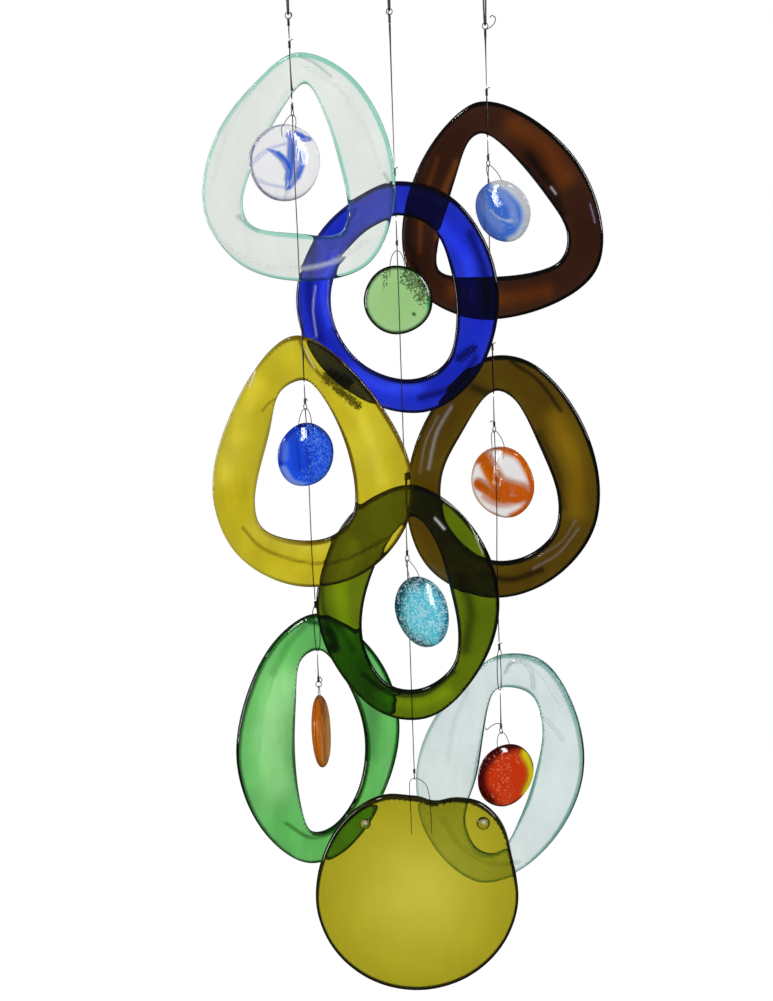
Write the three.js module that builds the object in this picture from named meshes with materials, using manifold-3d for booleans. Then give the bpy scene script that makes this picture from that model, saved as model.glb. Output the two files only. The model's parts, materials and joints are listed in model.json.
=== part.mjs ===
// A wind chime of slumped bottle glass: eight glass rings, eight fused glass nuggets and one bottle-base
// disc, hung on three wire strands from a steel rod. Millimetres, +Z up, the glass faces -Y.
// The origin is the inside crown of the hanging arch, where the hook that holds the chime bears.
import * as THREE from "three";
import { mergeVertices } from "three/addons/utils/BufferGeometryUtils.js";
import Module from "manifold-3d";

const wasm = await Module();
wasm.setup();

// ---- Driving dimensions ----
const GAP = 0.3; // clearance between pieces that touch
const RING_GLASS = 3.8; // thickness of a slumped ring
const DISC_GLASS = 4.4; // thickness of the bottle-base disc
const NUGGET_GLASS = 6.4; // thickness of a nugget at its middle
const STRAND_WIRE = 0.5; // diameter of the strand and sling wire
const BAIL_WIRE = 0.6; // diameter of the wire fused into the glass
const LOOP_WIRE = 0.9; // diameter of the loops over the rod
const EYE_RADIUS = 1.35; // centreline radius of the eyes bent in the strand wire
const TWIST_RADIUS = 0.8; // radius of a twisted knot
const TWIST_HEIGHT = 3.2; // length of a twisted knot
const ROD = 5; // diameter of the carrying rod
const ROD_LENGTH = 112; // length of the carrying rod
const ARCH_RADIUS = 9; // centreline radius of the hanging arch
const ARCH_HEIGHT = 20; // from the arch's inside crown down to the middle of the rod
const ARCH_WIRE = 2.6; // thickness of the hanging arch
const STRAND_SPACING = 42; // from strand to strand, seen from the front
const STRAND_SETBACK = 9; // each strand hangs this much further back than its left neighbour
const GREEN_SETBACK = 15; // the green ring hangs this much behind the rest of the left strand
const DISC_FORWARD = 3; // the disc hangs this much in front of the centre strand
const BAIL_DEPTH = 5; // how deep a nugget's bail legs run in the glass
const BAIL_LEAN = 0.5; // share of a nugget's sideways offset that its bail leans
const BAIL_HALF = 3.2; // half the width of a nugget's bail
const DISC_BAIL_HALF = 4.6; // half the width of the disc's bail
const DISC_BAIL_DEPTH = 18; // how deep the disc's bail legs run in the glass
const DISC_BAIL_ASIDE = 2.4; // how far right of its top the legs of the disc's bail stand

// How far the middle of an eye lies over the top of the bail that hangs in it.
const EYE_OVER_BAIL = EYE_RADIUS - STRAND_WIRE / 2 - GAP - BAIL_WIRE / 2;

const RING_STATIONS = 30;
const WIRE_SIDES = 8;
const LOOP_SIDES = 6;

// ---- Outlines of the glass ----
// Each row is one cut across the band of a ring: [outer x, outer z, hole x, hole z] in the ring's own
// plane, from the knot that it hangs on, clockwise from the top.
const CLEAR_BAND = [
  [3, -1, 6, -14],
  [25, -11, 13, -26],
  [40, -37, 19, -48],
  [42, -66, 22, -69],
  [31, -91, 18, -78],
  [7, -98, 0, -77],
  [-24, -91, -20, -73],
  [-40, -67, -23, -62],
  [-34, -36, -14, -41],
  [-14, -12, -3, -23],
];
const BROWN_BAND = [
  [-2, 0, -2, -14],
  [18, -7, 8, -21],
  [40, -28, 25, -42],
  [50, -57, 34, -58],
  [46, -77, 31, -70],
  [24, -91, 18, -75],
  [-8, -95, -7, -76],
  [-33, -81, -23, -73],
  [-39, -56, -22, -58],
  [-30, -26, -14, -32],
  [-14, -6, -8, -17],
];
const COBALT_BAND = [
  [1, 0, 2, -15],
  [24, -7, 16, -21],
  [40, -30, 23, -39],
  [44, -57, 25, -61],
  [34, -86, 20, -80],
  [12, -102, 4, -87],
  [-17, -96, -16, -80],
  [-40, -73, -28, -63],
  [-45, -46, -29, -44],
  [-33, -20, -19, -26],
  [-12, -4, -6, -17],
];
const YELLOW_BAND = [
  [-2, 0, 0, -20],
  [14, -9, 6, -25],
  [34, -33, 15, -43],
  [46, -62, 20, -65],
  [43, -87, 19, -81],
  [22, -109, 8, -91],
  [-8, -113, -10, -91],
  [-34, -97, -22, -85],
  [-43, -68, -24, -71],
  [-34, -36, -16, -43],
  [-15, -7, -11, -25],
];
const OLIVE_BAND = [
  [0, -1, 2, -17],
  [18, -5, 10, -22],
  [37, -27, 20, -43],
  [47, -57, 28, -66],
  [44, -84, 26, -83],
  [24, -106, 12, -94],
  [-3, -113, -6, -94],
  [-31, -99, -23, -76],
  [-41, -70, -24, -54],
  [-34, -35, -14, -35],
  [-15, -9, -4, -20],
];
const MOSS_BAND = [
  [3, 0, 4, -15],
  [23, -12, 13, -27],
  [38, -36, 19, -50],
  [41, -63, 22, -70],
  [31, -89, 19, -86],
  [9, -110, 4, -96],
  [-15, -107, -11, -93],
  [-37, -79, -21, -74],
  [-42, -50, -20, -53],
  [-29, -18, -10, -28],
  [-14, -5, -3, -19],
];
const GREEN_BAND = [
  [0, -1, 1, -19],
  [22, -15, 12, -31],
  [40, -40, 23, -55],
  [45, -69, 25, -75],
  [35, -96, 19, -94],
  [13, -118, 5, -106],
  [-10, -121, -8, -105],
  [-35, -97, -13, -90],
  [-46, -64, -15, -65],
  [-41, -37, -13, -40],
  [-24, -11, -10, -22],
];
const AQUA_BAND = [
  [2, -1, 2, -17],
  [22, -2, 16, -19],
  [37, -24, 21, -34],
  [41, -52, 17, -56],
  [30, -82, 9, -79],
  [6, -108, -2, -98],
  [-16, -115, -14, -98],
  [-39, -97, -20, -84],
  [-45, -66, -13, -63],
  [-35, -37, -9, -41],
  [-10, -8, -4, -21],
];
// The disc's rim: [x, z] from the knot that it hangs on. Its top is cut low and wavy, and the rest is the
// round of the bottle, drawn a little tall.
const DISC_TOP = [[-36, -22], [-25, -12], [-13, -7], [-2, -9], [14, -10], [28, -11], [40, -23]];
const DISC_MIDDLE = [-0.5, -57];
const DISC_HALF_WIDTH = 47.5;
const DISC_HALF_HEIGHT = 48.5;
const DISC_ROUND = 9; // points round the rest of it
const DISC_ROUND_START = 0.12 * Math.PI; // where the round starts, above the middle of its right side
const roundRim = [];
for (let i = 0; i < DISC_ROUND; i += 1) {
  const angle = DISC_ROUND_START - ((Math.PI + 2 * DISC_ROUND_START) * i) / (DISC_ROUND - 1);
  roundRim.push([
    DISC_MIDDLE[0] + DISC_HALF_WIDTH * Math.cos(angle),
    DISC_MIDDLE[1] + DISC_HALF_HEIGHT * Math.sin(angle),
  ]);
}
const DISC_RIM = [...DISC_TOP, ...roundRim];

// ---- The three strands ----
// eye: height of the eye at a strand's top. knot: height of the knot that a piece hangs on. turn: how far
// it faces away from the front. drop and side: how far a nugget's middle lies under its knot and right of
// it. setback: how far behind its strand a ring hangs. passes: the side on which the wire below a ring's
// nugget runs past the nugget, and the side on which it runs past the ring's lower band.
const FRONT = -1;
const BEHIND = 1;
const STRANDS = [
  {
    name: "left",
    x: -STRAND_SPACING - 0.5,
    y: -STRAND_SETBACK,
    eye: -49.5,
    rings: [
      {
        name: "clear_ring",
        band: CLEAR_BAND,
        color: "#d5dbd3",
        knot: -64,
        turn: 0,
        nugget: {
          name: "blue_swirl_nugget", color: "#5a7bd8",
          knot: -90.5, radius: 16.3, drop: 20, side: -4.5, turn: 24,
        },
        passes: [FRONT, FRONT],
      },
      {
        name: "yellow_ring",
        band: YELLOW_BAND,
        color: "#c8b832",
        knot: -184.5,
        turn: 0,
        nugget: {
          name: "sapphire_nugget", color: "#1f56d8",
          knot: -216.5, radius: 14.2, drop: 20.7, side: -0.8, turn: 32,
        },
        passes: [BEHIND, BEHIND],
      },
      {
        name: "green_ring",
        band: GREEN_BAND,
        color: "#7fd387",
        knot: -312.5,
        setback: GREEN_SETBACK,
        turn: 36,
        nugget: {
          name: "amber_nugget", color: "#c05a10",
          knot: -348, radius: 16.8, drop: 22, side: 0, turn: 84,
        },
      },
    ],
  },
  {
    name: "centre",
    x: 0,
    y: 0,
    eye: -49,
    rings: [
      {
        name: "cobalt_ring",
        band: COBALT_BAND,
        color: "#1d2fd0",
        knot: -120.5,
        turn: 0,
        nugget: {
          name: "green_nugget", color: "#7fbf6a",
          knot: -150, radius: 15.2, drop: 21.6, side: -0.3, turn: 0,
        },
        passes: [FRONT, FRONT],
      },
      {
        name: "moss_ring",
        band: MOSS_BAND,
        color: "#6e8a08",
        knot: -254,
        turn: 0,
        nugget: {
          name: "teal_nugget", color: "#37a8b8",
          knot: -288.5, radius: 16.4, drop: 23, side: 8, turn: -44,
        },
        passes: [BEHIND, BEHIND],
      },
    ],
    disc: { name: "base_disc", knot: -391.5, color: "#b2aa34" },
  },
  {
    name: "right",
    x: STRAND_SPACING - 1,
    y: STRAND_SETBACK,
    eye: -56,
    rings: [
      {
        name: "brown_ring",
        band: BROWN_BAND,
        color: "#4a2410",
        knot: -88,
        turn: 0,
        nugget: {
          name: "milky_blue_nugget", color: "#7d97dc",
          knot: -115, radius: 13.8, drop: 20, side: 7, turn: -36,
        },
        passes: [BEHIND, BEHIND],
      },
      {
        name: "olive_ring",
        band: OLIVE_BAND,
        color: "#5e4a06",
        knot: -198,
        turn: 0,
        nugget: {
          name: "orange_swirl_nugget", color: "#e0803a",
          knot: -232.5, radius: 16.4, drop: 23.4, side: 3.7, turn: -34,
        },
        passes: [FRONT, BEHIND],
      },
      {
        name: "aqua_ring",
        band: AQUA_BAND,
        color: "#cfdddd",
        knot: -336,
        turn: -27,
        nugget: {
          name: "red_nugget", color: "#d8361a",
          knot: -374.5, radius: 15.2, drop: 21.5, side: 1.9, turn: 27,
        },
      },
    ],
  },
];

// ---- Helpers ----
const radians = THREE.MathUtils.degToRad;
const steel = { color: "#3a3a36", roughness: 0.5, metalness: 1 };

// Merges a geometry's corners and makes a solid of it.
function solid(geometry) {
  const plain = geometry.clone();
  plain.deleteAttribute("normal");
  plain.deleteAttribute("uv");
  const merged = mergeVertices(plain, 1e-4);
  const triVerts = new Uint32Array(merged.index.array);
  const vertProperties = new Float32Array(merged.attributes.position.array);
  return new wasm.Manifold(new wasm.Mesh({ numProp: 3, vertProperties, triVerts }));
}

function geometryOf(manifold) {
  const mesh = manifold.getMesh();
  const geometry = new THREE.BufferGeometry();
  geometry.setAttribute("position", new THREE.BufferAttribute(mesh.vertProperties, 3));
  geometry.setIndex(new THREE.BufferAttribute(mesh.triVerts, 1));
  return geometry;
}

// A closed ring of skin over sections, each a loop of as many points.
function skinned(sections) {
  const sides = sections[0].length;
  const positions = sections.flat().flatMap((p) => [p.x, p.y, p.z]);
  const index = [];
  sections.forEach((section, i) => {
    const here = i * sides;
    const next = ((i + 1) % sections.length) * sides;
    section.forEach((point, k) => {
      const other = (k + 1) % sides;
      index.push(here + k, next + k, next + other, here + k, next + other, here + other);
    });
  });
  const geometry = new THREE.BufferGeometry();
  geometry.setAttribute("position", new THREE.Float32BufferAttribute(positions, 3));
  geometry.setIndex(index);
  return geometry;
}

// A wire bent along an open path, with as many cuts in each span between two of its points.
function wire(points, diameter, cuts, sides) {
  const section = new THREE.Shape();
  for (let i = 0; i < sides; i += 1) {
    const angle = (2 * Math.PI * i) / sides;
    const [x, y] = [(diameter / 2) * Math.cos(angle), (diameter / 2) * Math.sin(angle)];
    if (i === 0) section.moveTo(x, y);
    else section.lineTo(x, y);
  }
  section.closePath();
  const path = new THREE.CatmullRomCurve3(points, false, "centripetal");
  path.getUtoTmapping = (share) => share;
  const steps = cuts * (points.length - 1);
  return new THREE.ExtrudeGeometry(section, { steps, extrudePath: path, bevelEnabled: false });
}

// A closed loop of wire in the YZ plane through points [y, z], from the top and down the front.
function wireLoop(points, diameter, stations) {
  const path = new THREE.CatmullRomCurve3(
    points.map(([y, z]) => new THREE.Vector3(0, y, z)),
    true,
    "centripetal",
  );
  const sections = [];
  for (let i = 0; i < stations; i += 1) {
    const at = path.getPoint(i / stations);
    const along = path.getTangent(i / stations);
    const outward = new THREE.Vector3(1, 0, 0).cross(along).normalize();
    const section = [];
    for (let k = 0; k < LOOP_SIDES; k += 1) {
      const angle = (2 * Math.PI * k) / LOOP_SIDES;
      const point = at.clone().addScaledVector(outward, (diameter / 2) * Math.cos(angle));
      point.x -= (diameter / 2) * Math.sin(angle);
      section.push(point);
    }
    sections.push(section);
  }
  return skinned(sections);
}

// The two outlines of a ring, as closed curves that run side by side.
function outlines(band) {
  const curve = (i) =>
    new THREE.CatmullRomCurve3(
      band.map((row) => new THREE.Vector3(row[i], 0, row[i + 1])),
      true,
      "centripetal",
    );
  return { outer: curve(0), hole: curve(2) };
}

// A slumped ring: a flat band with fire-rounded edges.
function ringGeometry(band) {
  const { outer, hole } = outlines(band);
  const [half, quarter, round] = [RING_GLASS / 2, RING_GLASS / 4, RING_GLASS * 0.35];
  const sections = [];
  for (let i = 0; i < RING_STATIONS; i += 1) {
    const a = outer.getPoint(i / RING_STATIONS);
    const b = hole.getPoint(i / RING_STATIONS);
    const width = a.distanceTo(b);
    const profile = [
      [0, -quarter],
      [0, quarter],
      [round, half],
      [width - round, half],
      [width, quarter],
      [width, -quarter],
      [width - round, -half],
      [round, -half],
    ];
    sections.push(
      profile.map(([across, y]) => {
        const point = a.clone().lerp(b, across / width);
        point.y = y;
        return point;
      }),
    );
  }
  return skinned(sections);
}

// The highest and the lowest of an outline's upper crossing, and of its lower one, near x = 0.
function crossings(curve) {
  const upper = [];
  const lower = [];
  for (const at of [-TWIST_RADIUS, 0, TWIST_RADIUS]) {
    const heights = [];
    for (let i = 0; i < RING_STATIONS; i += 1) {
      const [a, b] = [curve.getPoint(i / RING_STATIONS), curve.getPoint((i + 1) / RING_STATIONS)];
      const [from, to] = [a.x - at, b.x - at];
      if (from * to <= 0 && from !== to) heights.push(a.z + ((b.z - a.z) * from) / (from - to));
    }
    upper.push(Math.max(...heights));
    lower.push(Math.min(...heights));
  }
  return {
    upperHigh: Math.max(...upper),
    upperLow: Math.min(...upper),
    lowerHigh: Math.max(...lower),
    lowerLow: Math.min(...lower),
  };
}

// A nugget: a round lens with a flatter back, its middle at the origin, its axis along Y.
function nuggetGeometry(radius) {
  const [front, back] = [NUGGET_GLASS * 0.55, NUGGET_GLASS * 0.45];
  const profile = [
    [0, -back],
    [radius * 0.78, -back * 0.86],
    [radius * 0.95, -back * 0.5],
    [radius, 0],
    [radius * 0.94, front * 0.48],
    [radius * 0.72, front * 0.82],
    [radius * 0.38, front * 0.97],
    [0, front],
  ];
  const points = profile.map(([r, h]) => new THREE.Vector2(r, h));
  return new THREE.LatheGeometry(points, 16).rotateX(Math.PI);
}

// The disc: a plate cut to its rim, with rounded edges.
function discGeometry() {
  const rim = new THREE.CatmullRomCurve3(
    DISC_RIM.map(([x, z]) => new THREE.Vector3(x, 0, z)),
    true,
    "centripetal",
  );
  const shape = new THREE.Shape();
  const stations = 32;
  const round = DISC_GLASS * 0.3;
  const centre = new THREE.Vector3(0, 0, -57);
  for (let i = 0; i < stations; i += 1) {
    const point = rim.getPoint(i / stations);
    point.addScaledVector(point.clone().sub(centre).normalize(), -round);
    if (i === 0) shape.moveTo(point.x, point.z);
    else shape.lineTo(point.x, point.z);
  }
  shape.closePath();
  const plate = new THREE.ExtrudeGeometry(shape, {
    depth: DISC_GLASS - 2 * round,
    bevelThickness: round,
    bevelSize: round,
    bevelSegments: 1,
  });
  return plate.translate(0, 0, round - DISC_GLASS / 2).rotateX(Math.PI / 2);
}

// A bail: a bent wire whose legs run down into the glass, its top at height 0, its legs moved aside.
function bailPoints(half, legEnd, aside) {
  return [
    [aside - half, legEnd],
    [aside - half, legEnd * 0.55],
    [aside * 0.7 - half * 0.9, -4.5],
    [aside * 0.2 - half * 0.55, -1.3],
    [0, 0],
    [aside * 0.2 + half * 0.55, -1.3],
    [aside * 0.7 + half * 0.9, -4.5],
    [aside + half, legEnd * 0.55],
    [aside + half, legEnd],
  ].map(([x, z]) => new THREE.Vector3(x, 0, z));
}

// Glass with a socket round each leg of the bail that is fused into it.
function socketed(glass, points) {
  const deeper = points.map((p) => p.clone());
  [deeper[0], deeper.at(-1)].forEach((end) => {
    end.z -= GAP;
  });
  const made = wire(deeper, BAIL_WIRE + 2 * GAP, 2, LOOP_SIDES);
  return geometryOf(solid(glass).subtract(solid(made)));
}

const group = new THREE.Group();

function add(name, geometry, material, parent) {
  const mesh = new THREE.Mesh(geometry, new THREE.MeshStandardMaterial(material));
  mesh.name = name;
  parent.add(mesh);
}

const glassOf = (color) => ({ color, roughness: 0.08, metalness: 0 });

function placed(parent, x, y, z, turn) {
  const place = new THREE.Group();
  place.position.set(x, y, z);
  place.rotation.z = radians(turn);
  parent.add(place);
  return place;
}

// ---- The rod and its hanging arch, welded to one piece ----
const rodZ = -ARCH_HEIGHT;
const rodTurn = THREE.MathUtils.radToDeg(Math.atan2(STRAND_SETBACK, STRAND_SPACING));

function addRod() {
  const rod = new THREE.CylinderGeometry(ROD / 2, ROD / 2, ROD_LENGTH, 16);
  rod.rotateZ(Math.PI / 2).translate(0, 0, rodZ);
  const points = [new THREE.Vector3(-ARCH_RADIUS, 0, rodZ)];
  const crown = ARCH_WIRE / 2 - ARCH_RADIUS;
  for (let i = 0; i <= 6; i += 1) {
    const angle = Math.PI * (1 - i / 6);
    points.push(new THREE.Vector3(ARCH_RADIUS * Math.cos(angle), 0, crown + ARCH_RADIUS * Math.sin(angle)));
  }
  points.push(new THREE.Vector3(ARCH_RADIUS, 0, rodZ));
  const arch = wire(points, ARCH_WIRE, 2, WIRE_SIDES);
  const place = placed(group, 0, 0, 0, rodTurn);
  add("hanger_rod", geometryOf(solid(rod).add(solid(arch))), steel, place);
}

// ---- The pieces of a strand ----
// A loop of stout wire over the rod. The strand hangs in its lower bend.
function addTopLoop(strand) {
  const over = ROD / 2 + LOOP_WIRE / 2 + GAP;
  const bend = strand.eye - LOOP_WIRE / 2;
  const points = [
    [0, rodZ + over],
    [-over * 0.75, rodZ + over * 0.72],
    [-over, rodZ],
    [-over * 0.8, rodZ - 6],
    [-1.4, bend + 3],
    [-0.8, bend + 0.6],
    [0, bend],
    [0.8, bend + 0.6],
    [1.4, bend + 3],
    [over * 0.8, rodZ - 6],
    [over, rodZ],
    [over * 0.75, rodZ + over * 0.72],
  ];
  const place = placed(group, strand.x, strand.y, 0, rodTurn);
  add(strand.name + "_top_loop", wireLoop(points, LOOP_WIRE, 24), steel, place);
}

// An eye bent in the strand wire, turned so that what hangs in it faces the given way.
function eye(x, y, z, turn) {
  const ring = new THREE.TorusGeometry(EYE_RADIUS, STRAND_WIRE / 2, LOOP_SIDES, 12);
  return ring.rotateY(Math.PI / 2).rotateZ(radians(turn)).translate(x, y, z);
}

function twist(x, y, bottom) {
  const barrel = new THREE.CylinderGeometry(TWIST_RADIUS, TWIST_RADIUS, TWIST_HEIGHT, 8);
  return barrel.rotateX(Math.PI / 2).translate(x, y, bottom + TWIST_HEIGHT / 2);
}

// The sling round the top band of a ring, closed by its twisted knot.
function slingHeights(ring) {
  const { outer, hole } = outlines(ring.band);
  const top = crossings(outer).upperHigh;
  const inner = crossings(hole).upperLow;
  const reach = STRAND_WIRE / 2 + 1.4 * GAP;
  return { top, low: inner - reach, knotTop: top + 2 + TWIST_HEIGHT };
}

function addSling(strand, ring, number, place) {
  const { top, low } = slingHeights(ring);
  const side = RING_GLASS / 2 + STRAND_WIRE / 2 + GAP;
  const points = [
    [0, top + 2.6],
    [-side * 0.5, top + 1.8],
    [-side, top - 0.6],
    [-side, low + 2],
    [0, low],
    [side, low + 2],
    [side, top - 0.6],
    [side * 0.5, top + 1.8],
  ];
  const loop = solid(wireLoop(points, STRAND_WIRE, 16));
  add(`${strand.name}_${number}_sling`, geometryOf(loop.add(solid(twist(0, 0, top + 2)))), steel, place);
}

function addNugget(strand, ring, x, y) {
  const { nugget } = ring;
  const place = placed(group, x, y, nugget.knot - EYE_OVER_BAIL, nugget.turn);
  const aside = nugget.side * BAIL_LEAN;
  const fromMiddle = Math.abs(nugget.side - aside) + BAIL_HALF;
  const legEnd = Math.sqrt(nugget.radius ** 2 - fromMiddle ** 2) - nugget.drop - BAIL_DEPTH;
  const points = bailPoints(BAIL_HALF, legEnd, aside);
  const glass = nuggetGeometry(nugget.radius).translate(nugget.side, 0, -nugget.drop);
  add(nugget.name, socketed(glass, points), glassOf(nugget.color), place);
  add(nugget.name.replace("_nugget", "_bail"), wire(points, BAIL_WIRE, 2, LOOP_SIDES), steel, place);
}

function addDisc(strand) {
  const { disc } = strand;
  const place = placed(group, strand.x, strand.y - DISC_FORWARD, disc.knot, 0);
  const points = bailPoints(DISC_BAIL_HALF, -10 - DISC_BAIL_DEPTH, DISC_BAIL_ASIDE);
  add(disc.name, socketed(discGeometry(), points), glassOf(disc.color), place);
  add("disc_bail", wire(points, BAIL_WIRE, 2, LOOP_SIDES), steel, place);
}

// The place of a ring, its nugget's knot included, down the strand.
function ringPlace(strand, ring) {
  return { x: strand.x, y: strand.y + (ring.setback ?? 0) };
}

// The wire from one ring's sling, through the eye of its nugget, to the knot of the next ring.
function strandWire(strand, ring, next) {
  const { x, y } = ringPlace(strand, ring);
  const { low } = slingHeights(ring);
  const { nugget } = ring;
  const start = ring.knot + low - STRAND_WIRE - GAP;
  const drop = [
    [x, y, start],
    [x, y, nugget.knot + EYE_RADIUS],
  ];
  let made = solid(wire(drop.map((p) => new THREE.Vector3(...p)), STRAND_WIRE, 1, WIRE_SIDES));
  made = made.add(solid(eye(x, y, nugget.knot, nugget.turn)));
  if (!next) return made;
  const face = Math.cos(radians(nugget.turn));
  const past = (NUGGET_GLASS * 0.55 + STRAND_WIRE / 2 + 2 * GAP) / face;
  const beside = RING_GLASS / 2 + STRAND_WIRE / 2 + GAP;
  const { outer, hole } = outlines(ring.band);
  const holeLow = ring.knot + crossings(hole).lowerHigh;
  const ringLow = ring.knot + crossings(outer).lowerLow;
  const [first, second] = ring.passes;
  const middle = nugget.knot - nugget.drop;
  // How far to the side the wire runs at a height: clear of the band, or further on its way to the knot.
  const aside = (height) => {
    const share = (holeLow + 3 - height) / (holeLow - next.z);
    return y + second * Math.max(beside, second * (next.y - y) * share);
  };
  const link = [
    [x, y, nugget.knot - EYE_RADIUS],
    [x, y + first * 0.6, nugget.knot - EYE_RADIUS - 1],
    [x, y + first * past * 0.8, middle + nugget.radius * 0.8],
    [x, y + first * past, middle + nugget.radius * 0.4],
    [x, y + first * past, middle - nugget.radius * 0.5],
    [x, y + first * past * 0.9, middle - nugget.radius - 2],
    [x, aside(holeLow + 3), holeLow + 3],
    [x, aside((holeLow + ringLow) / 2), (holeLow + ringLow) / 2],
    [x, aside(ringLow - 2), ringLow - 2],
    [next.x, next.y, next.z + 3],
    [next.x, next.y, next.z],
  ];
  const lower = wire(link.map((p) => new THREE.Vector3(...p)), STRAND_WIRE, 2, WIRE_SIDES);
  return made.add(solid(lower));
}

function topWire(strand, next) {
  const eyeZ = strand.eye + GAP + STRAND_WIRE / 2 - EYE_RADIUS;
  const points = [
    [strand.x, strand.y, eyeZ - EYE_RADIUS],
    [next.x, next.y, next.z],
  ];
  const straight = solid(wire(points.map((p) => new THREE.Vector3(...p)), STRAND_WIRE, 1, WIRE_SIDES));
  const coil = solid(twist(strand.x, strand.y, eyeZ - EYE_RADIUS - TWIST_HEIGHT));
  return straight.add(coil).add(solid(eye(strand.x, strand.y, eyeZ, rodTurn + 90)));
}

function addStrand(strand) {
  addTopLoop(strand);
  const knots = strand.rings.map((ring) => {
    const { x, y } = ringPlace(strand, ring);
    return { x, y, z: ring.knot + slingHeights(ring).knotTop + GAP };
  });
  if (strand.disc) {
    const z = strand.disc.knot + EYE_OVER_BAIL + EYE_RADIUS;
    knots.push({ x: strand.x, y: strand.y - DISC_FORWARD, z });
  }
  add(strand.name + "_1_wire", geometryOf(topWire(strand, knots[0])), steel, group);
  strand.rings.forEach((ring, i) => {
    const { x, y } = ringPlace(strand, ring);
    const place = placed(group, x, y, ring.knot, ring.turn);
    add(ring.name, ringGeometry(ring.band), glassOf(ring.color), place);
    addSling(strand, ring, i + 1, place);
    addNugget(strand, ring, x, y);
    let run = strandWire(strand, ring, knots[i + 1]);
    if (strand.disc && i === strand.rings.length - 1) {
      const { x: discX, y: discY } = knots[i + 1];
      run = run.add(solid(eye(discX, discY, strand.disc.knot + EYE_OVER_BAIL, 0)));
    }
    add(`${strand.name}_${i + 2}_wire`, geometryOf(run), steel, group);
  });
  if (strand.disc) addDisc(strand);
}

addRod();
STRANDS.forEach(addStrand);

export default group;
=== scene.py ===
"""The looks of a hanging wind chime: slumped bottle-glass rings, fused nuggets and a bottle-base disc."""
import json
import math

import bpy
import numpy as np
from bpy.props import FloatProperty, FloatVectorProperty, IntProperty, PointerProperty
from mathutils import Matrix, Vector

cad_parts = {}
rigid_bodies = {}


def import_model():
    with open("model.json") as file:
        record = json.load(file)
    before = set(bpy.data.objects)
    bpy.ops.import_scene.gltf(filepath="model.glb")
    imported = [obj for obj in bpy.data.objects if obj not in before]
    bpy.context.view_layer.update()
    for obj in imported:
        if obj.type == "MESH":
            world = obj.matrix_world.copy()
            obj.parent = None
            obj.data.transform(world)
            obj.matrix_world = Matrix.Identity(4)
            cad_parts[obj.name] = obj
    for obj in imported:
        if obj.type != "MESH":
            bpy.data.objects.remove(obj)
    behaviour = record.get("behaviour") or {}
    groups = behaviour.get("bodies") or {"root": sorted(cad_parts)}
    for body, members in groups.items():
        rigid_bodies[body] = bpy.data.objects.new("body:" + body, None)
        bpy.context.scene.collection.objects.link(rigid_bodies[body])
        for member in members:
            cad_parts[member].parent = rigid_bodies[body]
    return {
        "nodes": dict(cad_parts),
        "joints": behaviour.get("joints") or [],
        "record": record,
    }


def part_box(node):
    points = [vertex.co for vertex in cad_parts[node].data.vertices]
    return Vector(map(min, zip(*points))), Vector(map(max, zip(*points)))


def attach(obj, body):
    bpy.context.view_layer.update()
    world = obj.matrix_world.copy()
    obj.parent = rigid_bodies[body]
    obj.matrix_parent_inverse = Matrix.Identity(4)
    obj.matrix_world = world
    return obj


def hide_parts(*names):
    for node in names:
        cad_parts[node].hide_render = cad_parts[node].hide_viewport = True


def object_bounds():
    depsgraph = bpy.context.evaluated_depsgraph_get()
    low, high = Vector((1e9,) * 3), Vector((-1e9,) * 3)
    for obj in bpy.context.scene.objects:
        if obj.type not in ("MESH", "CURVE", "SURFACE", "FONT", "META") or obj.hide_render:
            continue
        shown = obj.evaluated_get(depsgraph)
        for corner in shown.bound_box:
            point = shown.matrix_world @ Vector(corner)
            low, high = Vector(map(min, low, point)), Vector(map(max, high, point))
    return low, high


bl_info = {
    "name": "Slumped glass wind chime",
    "version": (1, 0, 0),
    "blender": (4, 5, 0),
    "location": "View3D > Sidebar > Chime",
    "description": "Dresses the wind chime's frame with glass, wire and a plain stage",
    "category": "Object",
}

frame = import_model()
CAD_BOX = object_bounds()

MM = 0.001
MERGE = 2e-6  # metres within which a CAD copy's loose corners become one
SAMPLES_PER_TURN = 10  # points in each turn of a wrapped wire
SAMPLES_PER_BEND = 8  # points in each bend of its free tail


# ---- Colours ----
def linear(hex_colour):
    """Turns an sRGB hex colour into linear red, green and blue."""
    values = [int(hex_colour[i : i + 2], 16) / 255 for i in (1, 3, 5)]
    return [v / 12.92 if v <= 0.04045 else ((v + 0.055) / 1.055) ** 2.4 for v in values]


def colour_property(name, description, hex_colour):
    """A colour that a user may change, with its default."""
    return FloatVectorProperty(
        name=name, description=description, subtype="COLOR", size=3, min=0.0, max=1.0,
        default=linear(hex_colour),
    )


class ChimeColours(bpy.types.PropertyGroup):
    """The body colour of each glass, as seen through one layer of it."""

    clear_ring: colour_property("Clear ring", "Clear bottle glass", "#edf1ec")
    yellow_ring: colour_property("Yellow ring", "Yellow bottle glass", "#d2c224")
    green_ring: colour_property("Green ring", "Pale green bottle glass", "#6cc668")
    cobalt_ring: colour_property("Cobalt ring", "Cobalt bottle glass", "#1a2ccc")
    moss_ring: colour_property("Moss ring", "Moss green bottle glass", "#5f7404")
    brown_ring: colour_property("Brown ring", "Brown bottle glass", "#34180a")
    olive_ring: colour_property("Olive ring", "Olive bottle glass", "#574103")
    aqua_ring: colour_property("Aqua ring", "Pale aqua bottle glass", "#dce8e7")
    base_disc: colour_property("Disc", "Yellow-green bottle base", "#b2aa2a")


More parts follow.
